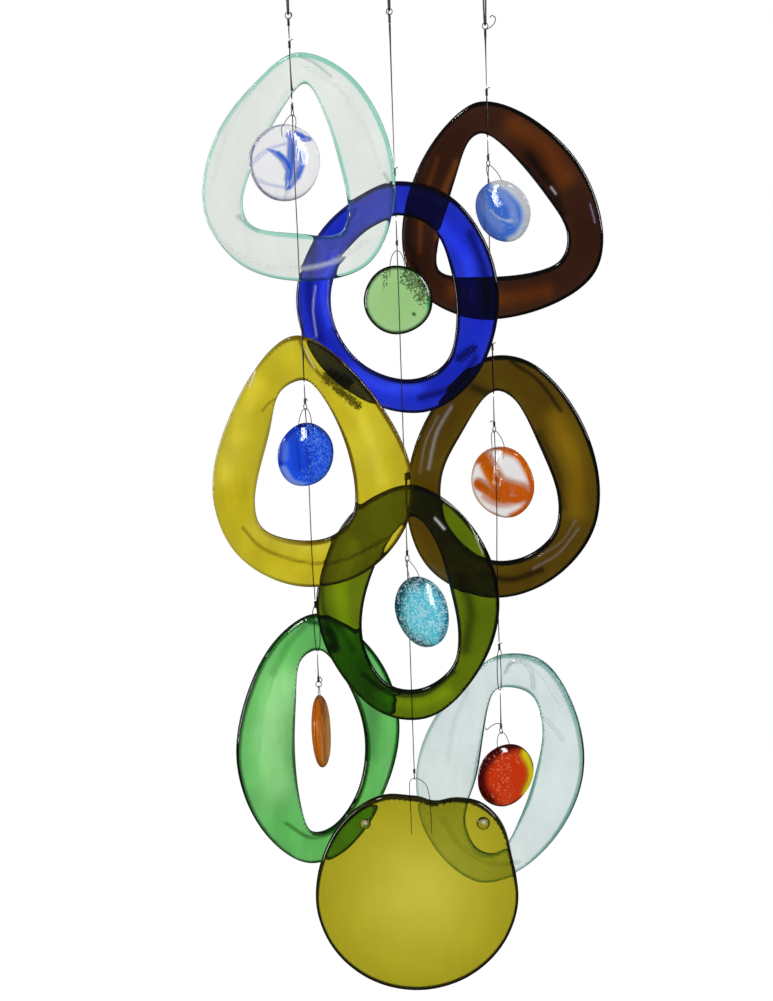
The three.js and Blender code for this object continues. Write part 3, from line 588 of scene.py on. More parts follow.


# ---- Nuggets ----
# Each nugget's turn about its knot and its lean to the side in degrees, how clear its body is, the colours of
# its body, its streaks, its painted shade and its flakes, and its strokes. A stroke is its kind, width,
# strength and path of [x, z] points, all in nugget radii from its middle.
NUGGETS = {
    "blue_swirl": {
        "turn": 24, "lean": 0, "finish": "frit_swirl_glass", "clear": 0.96,
        "body": "#f6f6f8", "streak": "#2a66e4", "shade": "#a6a8b8", "flake": "#ffffff",
        "strokes": [
            ("streak", 0.02, 1.0, [(-0.44, 0.36), (-0.3, 0.28), (-0.2, 0.24)]),
            ("streak", 0.05, 1.0, [(-0.24, 0.26), (-0.1, 0.14), (0.0, 0.0), (0.06, -0.14)]),
            ("streak", 0.055, 1.0, [(0.2, 0.72), (0.18, 0.4), (0.15, 0.1), (0.1, -0.2), (0.06, -0.42)]),
            ("streak", 0.025, 1.0, [(0.06, -0.42), (0.03, -0.56), (0.03, -0.68)]),
            ("streak", 0.05, 1.0, [(0.14, 0.68), (0.28, 0.73), (0.42, 0.7), (0.52, 0.64)]),
            ("streak", 0.02, 0.9, [(0.46, 0.68), (0.64, 0.62), (0.74, 0.56), (0.5, 0.54)]),
            ("streak", 0.05, 1.0, [(0.4, 0.4), (0.46, 0.14), (0.42, -0.12), (0.3, -0.38)]),
            ("streak", 0.025, 1.0, [(0.3, -0.38), (0.18, -0.54), (0.06, -0.66)]),
            ("streak", 0.09, 0.4, [(0.26, 0.3), (0.28, 0.0), (0.2, -0.3)]),
            ("streak", 0.022, 0.4, [(-0.9, 0.02), (-0.5, 0.34), (0.0, 0.48), (0.5, 0.54)]),
            ("streak", 0.022, 0.35, [(-0.86, -0.36), (-0.5, -0.52), (-0.1, -0.62), (0.05, -0.68)]),
            ("streak", 0.022, 0.3, [(-0.08, -0.95), (0.0, -0.8), (0.05, -0.68)]),
            ("shade", 0.035, 0.5, [(-0.3, 0.94), (-0.8, 0.58), (-0.98, 0.0), (-0.8, -0.58), (-0.3, -0.94)]),
        ],
    },
    "milky_blue": {
        "turn": -36, "lean": 18, "finish": "opal_swirl_glass", "clear": 0.6,
        "body": "#2e6cec", "streak": "#dedee4", "shade": "#6f86c4", "flake": "#9cbcf4",
        "strokes": [
            (
                "streak", 0.13, 0.9,
                [(0.1, 1.0), (0.6, 0.72), (0.95, 0.1), (0.85, -0.5), (0.4, -0.9), (0.0, -1.0)],
            ),
            ("streak", 0.03, 0.7, [(-0.12, 0.78), (0.0, 0.7), (0.1, 0.72)]),
            ("streak", 0.025, 0.7, [(-0.28, 0.16), (-0.12, -0.1), (0.12, -0.28), (0.34, -0.32)]),
            ("streak", 0.04, 0.6, [(0.2, -0.34), (0.34, -0.38)]),
            ("streak", 0.16, 0.22, [(-0.5, 0.5), (-0.4, 0.0), (-0.2, -0.4)]),
            ("streak", 0.1, 0.3, [(0.3, 0.6), (0.5, 0.1), (0.42, -0.4)]),
            ("grain", 0.5, 0.1, [(-0.2, 0.5), (0.0, 0.0), (0.1, -0.5)]),
            ("shade", 0.2, 0.8, [(-0.5, 0.85), (-0.9, 0.35), (-0.95, -0.2), (-0.7, -0.7)]),
        ],
    },
    "green": {
        "turn": 0, "lean": 0, "finish": "cathedral_glass", "clear": 1.0,
        "body": "#9ccd82", "streak": "#40d868", "shade": "#041a04", "flake": "#1d3a14",
        "strokes": [
            # Painted shade: a dark outline all round the rim.
            ("shade", 0.065, 1.0, [(math.cos(t / 4) * 0.98, math.sin(t / 4) * 0.98) for t in range(26)]),
            # A painted highlight: a bright green stroke by the right rim.
            ("streak", 0.07, 0.9, [(0.93, -0.02), (0.9, -0.2)]),
            ("grain", 0.13, 0.6, [(0.22, 0.66), (0.42, 0.6), (0.62, 0.4), (0.8, 0.1)]),
            ("grain", 0.1, 0.45, [(0.4, 0.4), (0.55, 0.2), (0.68, -0.05)]),
            ("grain", 0.05, 0.35, [(-0.34, 0.8), (-0.34, 0.55), (-0.36, 0.35)]),
            ("shade", 0.035, 0.9, [(0.43, -0.4), (0.45, -0.42)]),
        ],
    },
    "sapphire": {
        "turn": 32, "lean": 0, "finish": "dichroic_glass", "clear": 0.75,
        "body": "#1048f6", "streak": "#4c86fa", "shade": "#0a1c70", "flake": "#6aa6ff",
        "strokes": [
            ("grain", 0.34, 0.42, [(0.15, 0.6), (0.4, 0.2), (0.45, -0.3), (0.2, -0.7)]),
            (
                "shade", 0.07, 0.9,
                [(-0.2, 0.95), (0.35, 0.9), (0.9, 0.4), (0.97, -0.1), (0.7, -0.68), (0.3, -0.92)],
            ),
            ("shade", 0.05, 0.55, [(-0.36, 0.8), (-0.4, 0.3), (-0.34, -0.4)]),
            ("shade", 0.06, 0.5, [(0.0, 0.8), (-0.04, 0.2), (0.0, -0.6)]),
            ("streak", 0.07, 0.7, [(-0.86, -0.3), (-0.6, -0.72), (-0.2, -0.93)]),
            ("streak", 0.08, 0.35, [(-0.8, 0.45), (-0.82, 0.0)]),
        ],
    },
    "orange_swirl": {
        "turn": -34, "lean": 0, "finish": "frit_swirl_glass", "clear": 0.92,
        "body": "#f4f2f1", "streak": "#d86400", "shade": "#c87838", "flake": "#ffffff",
        "strokes": [
            ("streak", 0.11, 1.3, [(-0.72, 0.62), (-0.5, 0.66), (-0.36, 0.4)]),
            ("streak", 0.15, 1.4, [(-0.44, 0.5), (-0.26, 0.2), (-0.06, -0.05), (0.14, -0.3)]),
            ("streak", 0.11, 1.3, [(-0.72, -0.1), (-0.45, -0.22), (-0.16, -0.38), (0.1, -0.44)]),
            ("streak", 0.14, 1.2, [(0.0, -0.04), (0.35, -0.12), (0.66, -0.18), (0.8, -0.3)]),
            ("streak", 0.1, 1.1, [(0.1, -0.4), (0.45, -0.42), (0.75, -0.32)]),
            ("streak", 0.1, 0.6, [(-0.5, -0.42), (-0.15, -0.56), (0.25, -0.52)]),
            (
                "streak", 0.09, 1.0,
                [(0.1, 0.94), (0.6, 0.76), (0.95, 0.2), (0.95, -0.3), (0.7, -0.7), (0.3, -0.95)],
            ),
            (
                "shade", 0.05, 0.7,
                [(-0.1, -0.98), (-0.6, -0.78), (-0.96, -0.2), (-0.94, 0.25), (-0.6, 0.8), (0.1, 0.98)],
            ),
        ],
    },
    "teal": {
        "turn": -44, "lean": 0, "finish": "dichroic_glass", "clear": 0.55,
        "body": "#44d8f4", "streak": "#d8fafc", "shade": "#0a4a5e", "flake": "#dcfcff",
        "strokes": [
            ("grain", 0.75, 0.42, [(0.2, 0.4), (0.2, -0.3)]),
            (
                "shade", 0.26, 1.0,
                [(0.0, 1.08), (-0.62, 0.8), (-0.92, 0.1), (-0.86, -0.4), (-0.5, -0.9), (0.1, -1.08)],
            ),
            ("shade", 0.03, 0.7, [(0.3, 0.95), (0.85, 0.5), (0.98, -0.1), (0.7, -0.7)]),
            ("streak", 0.05, 0.5, [(0.1, 0.15), (0.25, 0.05), (0.1, -0.06)]),
        ],
    },
    "amber": {
        "turn": 84, "lean": 3, "finish": "flashed_glass", "clear": 0.92, "through": 22, "round": 4.5,
        "body": "#e07c08", "streak": "#ecd0bc", "shade": "#7a2c04", "flake": "#ffffff",
        "strokes": [("shade", 0.12, 0.5, [(0.0, 0.9), (0.0, 0.4)])],
    },
    "red": {
        "turn": 27, "lean": 0, "finish": "dichroic_glass", "clear": 0.8,
        "body": "#d83004", "streak": "#fabe04", "shade": "#4a0606", "flake": "#fa9a70",
        "strokes": [
            ("grain", 0.3, 0.17, [(-0.3, 0.5), (-0.35, 0.0), (-0.2, -0.5)]),
            ("grain", 0.16, 0.14, [(0.1, 0.6), (0.4, 0.5)]),
            ("shade", 0.17, 1.0, [(0.35, 0.98), (-0.3, 0.94), (-0.88, 0.4), (-0.92, -0.2), (-0.6, -0.8)]),
            ("shade", 0.06, 0.9, [(-0.6, -0.82), (0.0, -1.0), (0.5, -0.86)]),
            ("streak", 0.12, 1.0, [(0.64, 0.6), (0.84, 0.2), (0.86, -0.2), (0.68, -0.62)]),
            ("shade", 0.04, 0.8, [(0.4, 0.93), (0.8, 0.62), (0.97, 0.1)]),
        ],
    },
}
FRONT_BULGE = 3.15 * MM
BACK_BULGE = 2.85 * MM


def shape_nugget(name, facts, number):
    """A fused nugget: a round lens of glass with a flatter back and a slightly uneven outline."""
    low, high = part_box(name + "_nugget")
    middle = (low + high) / 2
    radius = (high.z - low.z) / 2
    piece = primitive(
        bpy.ops.mesh.primitive_uv_sphere_add, name + "_cabochon",
        segments=112, ring_count=64, radius=radius, rotation=(math.pi / 2, 0, 0), location=middle,
    )
    bpy.ops.object.transform_apply(location=False, rotation=True, scale=True)
    points = corners(piece)
    flat = points[:, [0, 2]] / radius
    reach = np.linalg.norm(flat, axis=1)
    side = np.sign(points[:, 1])
    bulge = np.clip(1 - reach ** facts.get("round", 2.6), 0, 1) ** 0.5
    angle = np.arctan2(flat[:, 1], flat[:, 0])
    uneven = 0.992 + reach * (0.008 * np.sin(3 * angle + number) + 0.006 * np.sin(5 * angle + 2.1 * number))
    points[:, 0] *= uneven
    points[:, 2] *= uneven
    points[:, 1] = side * bulge * np.where(side < 0, FRONT_BULGE, BACK_BULGE)
    lean = math.radians(facts["lean"])
    x, y, z = turned(points, np.zeros(3), math.radians(facts["turn"])).T
    c, s = math.cos(lean), math.sin(lean)
    set_corners(piece, np.stack([x * c - z * s, y, z * c + x * s], 1))
    only(piece)
    bpy.ops.object.transform_apply(location=True, rotation=True, scale=True)
    bpy.ops.object.shade_smooth()
    marks = {key: np.zeros(len(points)) for key in ("streak", "shade", "grain")}
    for kind, width, strength, path in facts["strokes"]:
        away = distance_to_path(flat, rounded(path))
        shape = np.clip(1.5 - 0.75 * away / width, 0, 1)
        marks[kind] = np.maximum(marks[kind], np.minimum(1.0, strength * shape))
    if name == "amber":
        # Its back is flashed with milky glass, which shows along the edge of the view.
        marks["streak"] = np.where(side > 0, np.clip((bulge - 0.55) / 0.2, 0, 0.9), 0)
    for key, values in marks.items():
        store(piece, key, values)
    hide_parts(name + "_nugget")
    return piece


def fused_glass(name, facts):
    """Fused art glass, fire-polished: a clear or opal body with coloured frit dragged through it in wispy
    strokes, or a crazed dichroic film under it that glitters in flakes, with painted shade along its rim and
    down one side."""
    material, tree = new_material(name + "_" + facts["finish"])
    place = add(tree, "ShaderNodeTexCoord").outputs["Object"]
    marks = {
        key: add(tree, "ShaderNodeAttribute", {"attribute_name": key}).outputs["Fac"]
        for key in ("streak", "shade", "grain")
    }
    body, streak, shade, flake = (linear(facts[key]) for key in ("body", "streak", "shade", "flake"))
    deep = [c**0.35 for c in body]
    skin = [b / d for b, d in zip(body, deep)]
    # Wisps in the dragged frit, about 4 mm apart, drawn out along the pull.
    drawn = add(tree, "ShaderNodeMapping", {"Scale": (1, 1, 0.45)}, {"Vector": place})
    wisps = add(
        tree, NOISE, {"Scale": 1 / (4 * MM), "Detail": 4.0, "Distortion": 1.2}, {"Vector": drawn.outputs[0]},
    )
    wisp = wisps.outputs["Fac"]
    dim = [c * 0.86 for c in skin]
    cloudy = add(tree, MIX, {**COLOURS, COLOUR_1: opaque(dim), COLOUR_2: opaque(skin)}, {SHARE: wisp})
    wispy = add(tree, RAMP, {"stops": [(0.25, 0.8), (0.45, 1.0)]}, {"Fac": wisp})
    drag = add(tree, MATH, {"operation": "MULTIPLY"}, {0: marks["streak"], 1: wispy.outputs["Color"]})
    frit = [min(1.0, c / d) for c, d in zip(streak, deep)]
    # Flakes of crazed film, 0.7 mm across.
    cells = add(tree, "ShaderNodeTexVoronoi", {"Scale": 1 / (0.7 * MM)}, {"Vector": place})
    chance = add(tree, "ShaderNodeSeparateColor", links={0: cells.outputs["Color"]})
    lit = add(tree, MATH, {"operation": "MULTIPLY_ADD", 1: 0.95}, {0: chance.outputs[0], 2: marks["grain"]})
    flakes = add(tree, RAMP, {"stops": [(0.96, 0.0), (1.0, 1.0)]}, {"Fac": lit.outputs[0]})
    glitter = add(tree, MATH, {"operation": "MULTIPLY", 1: 0.75}, {0: flakes.outputs["Color"]})
    seen = cloudy
    # Shade strokes paint shade along the rim and down one side, and lay a few dark lines and specks inside;
    # on the green nugget one streak stroke is a painted highlight.
    for share, colour in ((drag.outputs[0], frit), (marks["shade"], shade), (glitter.outputs[0], flake)):
        settings = {**COLOURS, COLOUR_2: opaque(colour)}
        seen = add(tree, MIX, settings, {SHARE: share, COLOUR_1: seen.outputs[COLOUR]})
    milk = add(tree, MATH, {"operation": "MAXIMUM"}, {0: glitter.outputs[0], 1: drag.outputs[0]})
    span = {"To Min": facts["clear"], "To Max": 0.35}
    clear = add(tree, "ShaderNodeMapRange", span, {"Value": milk.outputs[0]})
    height = add(tree, MATH, {"operation": "MULTIPLY_ADD", 1: 0.5}, {0: glitter.outputs[0], 2: wisp})
    bump = add(tree, "ShaderNodeBump", {"Strength": 0.2, "Distance": 0.4 * MM}, {"Height": height.outputs[0]})
    shader = add(
        tree, "ShaderNodeBsdfPrincipled", {"Roughness": 0.03, "IOR": GLASS_IOR},
        {
            "Base Color": seen.outputs[COLOUR], "Transmission Weight": clear.outputs[0],
            "Normal": bump.outputs["Normal"],
        },
    )
    tint, density = absorbing(deep, facts.get("through", NUGGET_THICKNESS) * MM)
    depth = add(tree, "ShaderNodeVolumeAbsorption", {"Color": opaque(tint), "Density": density})
    add(tree, "ShaderNodeOutputMaterial", links={"Surface": shader.outputs[0], "Volume": depth.outputs[0]})
    return material


class CHIME_OT_nuggets(bpy.types.Operator):
    """Makes the fused nuggets that hang in the rings"""

    bl_idname = "chime.nuggets"
    bl_label = "Add nuggets"

    def execute(self, context):
        for number, (name, facts) in enumerate(NUGGETS.items()):
            piece = shape_nugget(name, facts, number)
            piece.data.materials.append(fused_glass(name, facts))
            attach(piece, name + "_nugget")
        return {"FINISHED"}


# ---- Disc ----
# The disc's section from the middle of its back, round its edge, to the middle of its front: how far out, as
# a share of its outline, and how far back, as a share of half its thickness.
DISC_SECTION = (
    (0.03, 0.86), (0.2, 0.87), (0.4, 0.9), (0.6, 0.94), (0.78, 0.98), (0.9, 1.0), (0.95, 0.97), (0.98, 0.82),
    (0.995, 0.5), (1.0, 0.0), (0.995, -0.5), (0.98, -0.82), (0.955, -0.97), (0.92, -1.0), (0.86, -0.95),
    (0.78, -0.88), (0.6, -0.8), (0.4, -0.74), (0.2, -0.71), (0.03, -0.7),
)
# Each bead's place across and up from the top of the disc's bail, and its radius, in millimetres.
BEADS = ((-23.4, -21.0, 2.6), (31.0, -22.7, 3.1))
BEAD_FLATNESS = 0.4
DISC_SPOKES = 96
OUTLINE_SLICES = 72
RIM_SLICES = 120


def disc_outline(middle):
    """The outline of the CAD disc, as the angle and the distance from its middle of points along it."""
    flat = (corners(frame["nodes"]["base_disc"]) - middle)[:, [0, 2]]
    radius = np.linalg.norm(flat, axis=1)
    angle = np.arctan2(flat[:, 1], flat[:, 0])
    width = 2 * math.pi / OUTLINE_SLICES
    outline = []
    for low_angle in np.linspace(-math.pi, math.pi, OUTLINE_SLICES, endpoint=False):
        here = (angle >= low_angle) & (angle < low_angle + width) & (radius > 0.75 * radius.max())
        if here.any():
            furthest = np.argmax(np.where(here, radius, 0))
            outline.append((angle[furthest], radius[furthest]))
    return np.array(outline).T


def shape_disc(middle, half):
    """The disc: a circle bent to the outline, then drawn out along the section."""
    rim_angle, rim_radius = disc_outline(middle)
    piece = primitive(
        bpy.ops.mesh.primitive_circle_add, "bottle_base",
        vertices=DISC_SPOKES, radius=1, fill_type="NGON", rotation=(math.pi / 2, 0, 0), location=middle,
    )
    bpy.ops.object.transform_apply(location=False, rotation=True, scale=True)
    share, back = DISC_SECTION[0]
    points = corners(piece)
    for point in points:
        at = math.atan2(point[2], point[0]) + np.linspace(-0.09, 0.09, 7)
        point *= share * np.interp(at, rim_angle, rim_radius, period=2 * math.pi).mean()
    points[:, 1] = back * half
    set_corners(piece, points)
    bpy.ops.object.mode_set(mode="EDIT")
    bpy.ops.mesh.select_all(action="SELECT")
    for nearer, further in zip(DISC_SECTION[:-1], DISC_SECTION[1:]):
        grow = further[0] / nearer[0]
        move = (0, (further[1] - nearer[1]) * half, 0)
        bpy.ops.mesh.extrude_region_move(TRANSFORM_OT_translate={"value": move})
        bpy.ops.transform.resize(value=(grow, 1, grow), center_override=middle)
    bpy.ops.mesh.select_all(action="SELECT")
    bpy.ops.mesh.normals_make_consistent(inside=False)
    bpy.ops.object.mode_set(mode="OBJECT")
    bpy.ops.object.transform_apply(location=True, rotation=True, scale=True)
    apply_modifier(piece, "SUBSURF", {"levels": 2, "render_levels": 2})
    bpy.ops.object.shade_smooth()
    return piece


def mark_disc(piece, middle):
    """Stores the disc's painted rim shade, darker along its top and fading a little inward, and where its
    middle is thin.
    """
    flat = (corners(piece) - middle)[:, [0, 2]]
    reach = np.linalg.norm(flat, axis=1)
    share = (np.arctan2(flat[:, 1], flat[:, 0]) + math.pi) / (2 * math.pi)
    slices = (share * RIM_SLICES).astype(int) % RIM_SLICES
    outer = np.zeros(RIM_SLICES)
    np.maximum.at(outer, slices, reach)
    depth = (outer[slices] - reach) / MM
    top = np.clip(flat[:, 1] / reach.max(), 0, 1)
    store(piece, "rim", np.clip((1.9 + 0.9 * top - depth) / 0.6, 0, 1) + 0.12 * np.exp(-depth / 7))
    store(piece, "thin", 0.8 * np.exp(-((reach / (24 * MM)) ** 2)))


def shape_bead(name, place, radius):
    """A flattened glass bead, with painted shade as its dark outline and a painted highlight a little above
    its middle.
    """
    bead = primitive(
        bpy.ops.mesh.primitive_uv_sphere_add, name, segments=32, ring_count=20, radius=radius, location=place
    )
    bpy.ops.object.mode_set(mode="EDIT")
    bpy.ops.transform.resize(value=(1, BEAD_FLATNESS, 1), center_override=place)
    bpy.ops.object.mode_set(mode="OBJECT")
    bpy.ops.object.transform_apply(location=True, rotation=True, scale=True)
    flat = (corners(bead) - place)[:, [0, 2]] / radius
    store(bead, "rim", np.clip((np.linalg.norm(flat, axis=1) - 0.74) / 0.12, 0, 0.9))
    store(bead, "thin", np.ones(len(flat)))
    store(bead, "gleam", 0.8 * np.exp(-(np.linalg.norm(flat - (0.05, 0.3), axis=1) / 0.3) ** 2))
    bpy.ops.object.shade_smooth()
    return bead


class CHIME_OT_disc(bpy.types.Operator):
    """Makes the disc cut from a bottle's base, with its two small glass beads"""

    bl_idname = "chime.disc"
    bl_label = "Add disc"

    def execute(self, context):
        low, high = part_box("base_disc")
        middle = np.array((low + high) / 2)
        half = (high.y - low.y) / 2
        piece = shape_disc(middle, half)
        mark_disc(piece, middle)
        body = list(context.scene.chime_colours.base_disc)
        material = bottle_glass(
            "base_bottle_glass", body, linear("#c8c040"), (0.05, 0.05, 0.05), cloudy=0.3, ripple=0.12
        )
        piece.data.materials.append(material)
        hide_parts("base_disc")
        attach(piece, "base_disc")
        knot = Vector((*pivot_of("base_disc")[:2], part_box("disc_bail")[1].z))
        for number, (across, up, radius) in enumerate(BEADS):
            place = knot + Vector((across * MM, -half * 1.05, up * MM))
            bead = shape_bead("bead_" + str(number + 1), place, radius * MM)
            bead.data.materials.append(material)
            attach(bead, "base_disc")
        return {"FINISHED"}


# ---- Wires ----
ROD_DIAMETER = 5 * MM
ROD_LENGTH = 112 * MM
ARCH_WIRE = 2.6 * MM
ARCH_RADIUS = 9 * MM  # to the middle of its wire
ARCH_STEPS = 24


def bent_wire(name, points, diameter, material, body):
    """A round wire bent along points, which rides on a body."""
    curve = bpy.data.curves.new(name, "CURVE")
    curve.dimensions = "3D"
    curve.bevel_depth = diameter / 2
    curve.bevel_resolution = 2
    curve.use_fill_caps = True
    spline = curve.splines.new("POLY")
    spline.points.add(len(points) - 1)
    for point, place in zip(spline.points, points):
        point.co = (*place, 1)
    piece = bpy.data.objects.new(name, curve)
    bpy.context.scene.collection.objects.link(piece)
    only(piece)
    bpy.ops.object.convert(target="MESH")
    piece = bpy.context.object
    bpy.ops.object.shade_smooth()
    piece.data.materials.append(material)
    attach(piece, body)
    return piece


def wrapping(x, y, low, high, radius, pitch, tail):
    """The turns of a wire wrapped round an upright one, which end in a free tail."""
    turns = (high - low) / pitch
    count = int(turns * SAMPLES_PER_TURN)
    points = []
    for step in range(count + 1):
        angle = 2 * math.pi * turns * step / count
        height = low + (high - low) * step / count
        points.append((x + radius * math.cos(angle), y + radius * math.sin(angle), height))
    x, y, z = points[-1]
    bends = [(x, y, z)] + [(x + right * MM, y + back * MM, z + up * MM) for right, back, up in tail]
    points.extend(tuple(p) for p in rounded(bends, SAMPLES_PER_BEND * len(tail))[1:])
    return points


# Free ends of wire at the knots, as bends [right, back, up] in millimetres from the last turn.
TAILS = {
    "left_1_wire": [(0.6, -0.6, 0.5), (1.2, -0.9, 1.6), (0.6, -0.9, 2.6)],
    "centre_1_wire": [(-0.8, -0.5, 0.6), (-1.0, -0.8, 1.6)],
    "right_1_wire": [
        (1.8, -0.5, 0.8), (3.6, -0.8, 2.6), (4.0, -0.8, 4.6), (2.6, -0.8, 5.6), (1.6, -0.8, 4.8),
    ],
    "amber": [(1.2, -0.8, 0.3), (2.0, -1.0, -1.0), (1.4, -1.0, -2.2)],
    "red": [(-1.6, -0.8, 0.6), (-4.0, -1.0, -0.4), (-6.4, -1.0, -2.2), (-6.9, -1.0, -1.2)],
    "sapphire": [(0.8, -0.6, 0.5), (1.6, -0.8, -0.6)],
    "orange_swirl": [(-0.8, -0.6, 0.6), (-1.6, -0.8, 0.0)],
}
PLAIN_TAIL = [(0.3, -0.6, 0.2), (1.0, -0.9, 0.5)]
# By how a wire's name ends: its wrap's lowest and highest turn, in millimetres up from the wire's top.
WRAPS = {"_sling": (-3.1, -0.1), "_1_wire": (-6.0, -3.0), "_bail": (1.9, 3.7)}
WRAP_RADIUS = 0.42 * MM
# How far below the wire's top its knot's core starts, in millimetres, and the core's height and reach.
CORES = {"_sling": 3.4, "_1_wire": 6.3}
CORE_HEIGHT = 3.4 * MM
CORE_REACH = 0.9 * MM
CORE_SHARE = 0.35
BAIL_THINNING = 0.07 * MM  # off each side, so that a bail turns freely in its eye


def draw_in_core(piece, axis, low):
    """Draws a knot's core in to a third of its width, so that its wrap lies where the CAD barrel was."""
    points = corners(piece)
    from_axis = points[:, :2] - axis
    core = (points[:, 2] > low) & (points[:, 2] < low + CORE_HEIGHT)
    core &= np.linalg.norm(from_axis, axis=1) < CORE_REACH
    points[core, :2] = np.array(axis) + from_axis[core] * CORE_SHARE
    set_corners(piece, points)


class CHIME_OT_wires(bpy.types.Operator):
    """Makes the strand wires, slings, loops and bails round, and wraps each knot"""

    bl_idname = "chime.wires"
    bl_label = "Add wires"

    def execute(self, context):
        size = context.scene.chime_sizes.wrap_wire
        strand_steel = annealed_wire("annealed_binding_wire", "#4a4843", 0.45)
        bail_steel = annealed_wire("oxidised_bail_wire", "#5f5a52", 0.4)
        for node in sorted(frame["nodes"]):
            if not node.endswith(("_wire", "_sling", "_bail", "_top_loop")):
                continue
            piece = smooth_copy(node, node + "_steel", 1)
            piece.data.materials.append(bail_steel if node.endswith("_bail") else strand_steel)
            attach(piece, body_of(node))
            kind = next((ending for ending in WRAPS if node.endswith(ending)), None)
            if kind is None:
                continue
            body = body_of(node)
            x, y, _ = pivot_of(body)
            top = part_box(node)[1].z
            if kind in CORES:
                draw_in_core(piece, (x, y), top - CORES[kind] * MM)
            else:
                set_corners(piece, corners(piece) - normals(piece) * BAIL_THINNING)
                # The wrap over a bail belongs to the wire that carries it.
                body = next(j["parent"] for j in frame["joints"] if j["child"] == body)
            low, high = (top + height * MM for height in WRAPS[kind])
            name = node.removesuffix("_bail")
            points = wrapping(x, y, low, high, WRAP_RADIUS, 1.25 * size, TAILS.get(name, PLAIN_TAIL))
            bent_wire(name + "_wrap", points, size, strand_steel, body)
        return {"FINISHED"}


def arch_path(foot):
    """The arch's middle line [across, up]: a half round on two legs, with its inside crown at the origin."""
    bend, spring = ARCH_RADIUS, ARCH_WIRE / 2 - ARCH_RADIUS
    path = [(-bend, foot), (-bend, spring)]
    for step in range(1, ARCH_STEPS):
        angle = math.pi * step / ARCH_STEPS
        path.append((-bend * math.cos(angle), spring + bend * math.sin(angle)))
    return path + [(bend, spring), (bend, foot)]


def weld_bead(name, place):
    """A hand-run weld bead round a foot of the arch: uneven, and sagging towards the rod."""
    bead = primitive(
        bpy.ops.mesh.primitive_torus_add, name, location=place,
        major_segments=32, minor_segments=12, major_radius=ARCH_WIRE / 2, minor_radius=0.7 * MM,
    )
    bpy.ops.object.transform_apply(location=True, rotation=True, scale=True)
    points = corners(bead)
    around = np.arctan2(points[:, 1] - place.y, points[:, 0] - place.x)
    points[:, 2] += 0.12 * MM * np.sin(7 * around) - 0.15 * MM
    set_corners(bead, points)
    bpy.ops.object.shade_smooth()
    return bead


class CHIME_OT_rod(bpy.types.Operator):
    """Makes the carrying rod, its hanging arch and the weld beads at the arch's feet"""

    bl_idname = "chime.rod"
    bl_label = "Add rod"

    def execute(self, context):
        steel = annealed_wire("black_annealed_rod", "#3a3936", 0.5)
        sway = next(j for j in frame["joints"] if j["name"] == "centre_sway")
        direction, middle = Vector(sway["axis"]), Vector(sway["pos_m"])
        rod = primitive(
            bpy.ops.mesh.primitive_cylinder_add, "carrying_rod",
            vertices=48, radius=ROD_DIAMETER / 2, depth=ROD_LENGTH, location=middle,
            rotation=(0, math.pi / 2, math.atan2(direction.y, direction.x)),
        )
        bpy.ops.object.transform_apply(location=True, rotation=True, scale=True)
        # The sawn ends are filed round.
        apply_modifier(rod, "BEVEL", {"width": 0.8 * MM, "segments": 4, "limit_method": "ANGLE"})
        bpy.ops.object.shade_smooth_by_angle(angle=math.radians(50))
        rod.data.materials.append(steel)
        foot = middle.z + ROD_DIAMETER / 2 - 0.4 * MM
        points = [(x * direction.x, x * direction.y, z) for x, z in arch_path(foot)]
        arch = bent_wire("hanging_arch", points, ARCH_WIRE, steel, "hanger")
        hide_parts("hanger_rod")
        for side, word in ((-1, "left"), (1, "right")):
            place = middle + direction * side * ARCH_RADIUS + Vector((0, 0, ROD_DIAMETER / 2))
            bead = weld_bead("weld_bead_" + word, place)
            bead.data.materials.append(steel)
            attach(bead, "hanger")
        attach(rod, "hanger")
        return {"FINISHED"}


# ---- Stage ----
CAMERA_DISTANCE = 0.8525
CAMERA_PITCH = math.radians(12)
CAMERA_ROLL = math.radians(2)
CAMERA_TARGET = Vector((-8.4 * MM, 0, -261.5 * MM))
CAMERA_LENS = 68.6  # millimetres
CAMERA_SENSOR = 36  # millimetres along the longer side of the view
# Each lamp's name, place, width, height, power, and whether it lights matt surfaces or only shines in glass.
LAMPS = (
    ("key_lamp", (-0.5, -0.9, 0.7), 0.22, 0.22, 3.5, True),
    ("left_softbox", (-0.95, -0.35, -0.1), 0.16, 0.8, 8.0, False),
    ("right_softbox", (0.85, -0.6, 0.15), 0.12, 0.7, 6.0, False),
)


def paper():
    """Matt white paper: even and without shine, and white where the object lets light through to it."""
    material, tree = new_material("matt_white_paper")
    path = add(tree, "ShaderNodeLightPath").outputs
    mirrored = add(
        tree, MATH, {"operation": "SUBTRACT", "use_clamp": True},
        {0: path["Is Glossy Ray"], 1: path["Is Transmission Ray"]},
    )
    shades = {**COLOURS, COLOUR_1: (0.92, 0.92, 0.92, 1), COLOUR_2: (0.1, 0.1, 0.1, 1)}
    pale = add(tree, MIX, shades, {SHARE: mirrored.outputs[0]})
    matt = add(tree, "ShaderNodeBsdfDiffuse", links={"Color": pale.outputs[COLOUR]})
    seen = add(
        tree, MATH, {"operation": "MAXIMUM"}, {0: path["Is Camera Ray"], 1: path["Is Transmission Ray"]}
    )
    lift = add(tree, MATH, {"operation": "MULTIPLY", 1: 0.31}, {0: seen.outputs[0]})
    glow = add(tree, "ShaderNodeEmission", {"Color": WHITE}, {"Strength": lift.outputs[0]})
    both = add(tree, "ShaderNodeAddShader", links={0: matt.outputs[0], 1: glow.outputs[0]})
    add(tree, "ShaderNodeOutputMaterial", links={"Surface": both.outputs[0]})
    return material


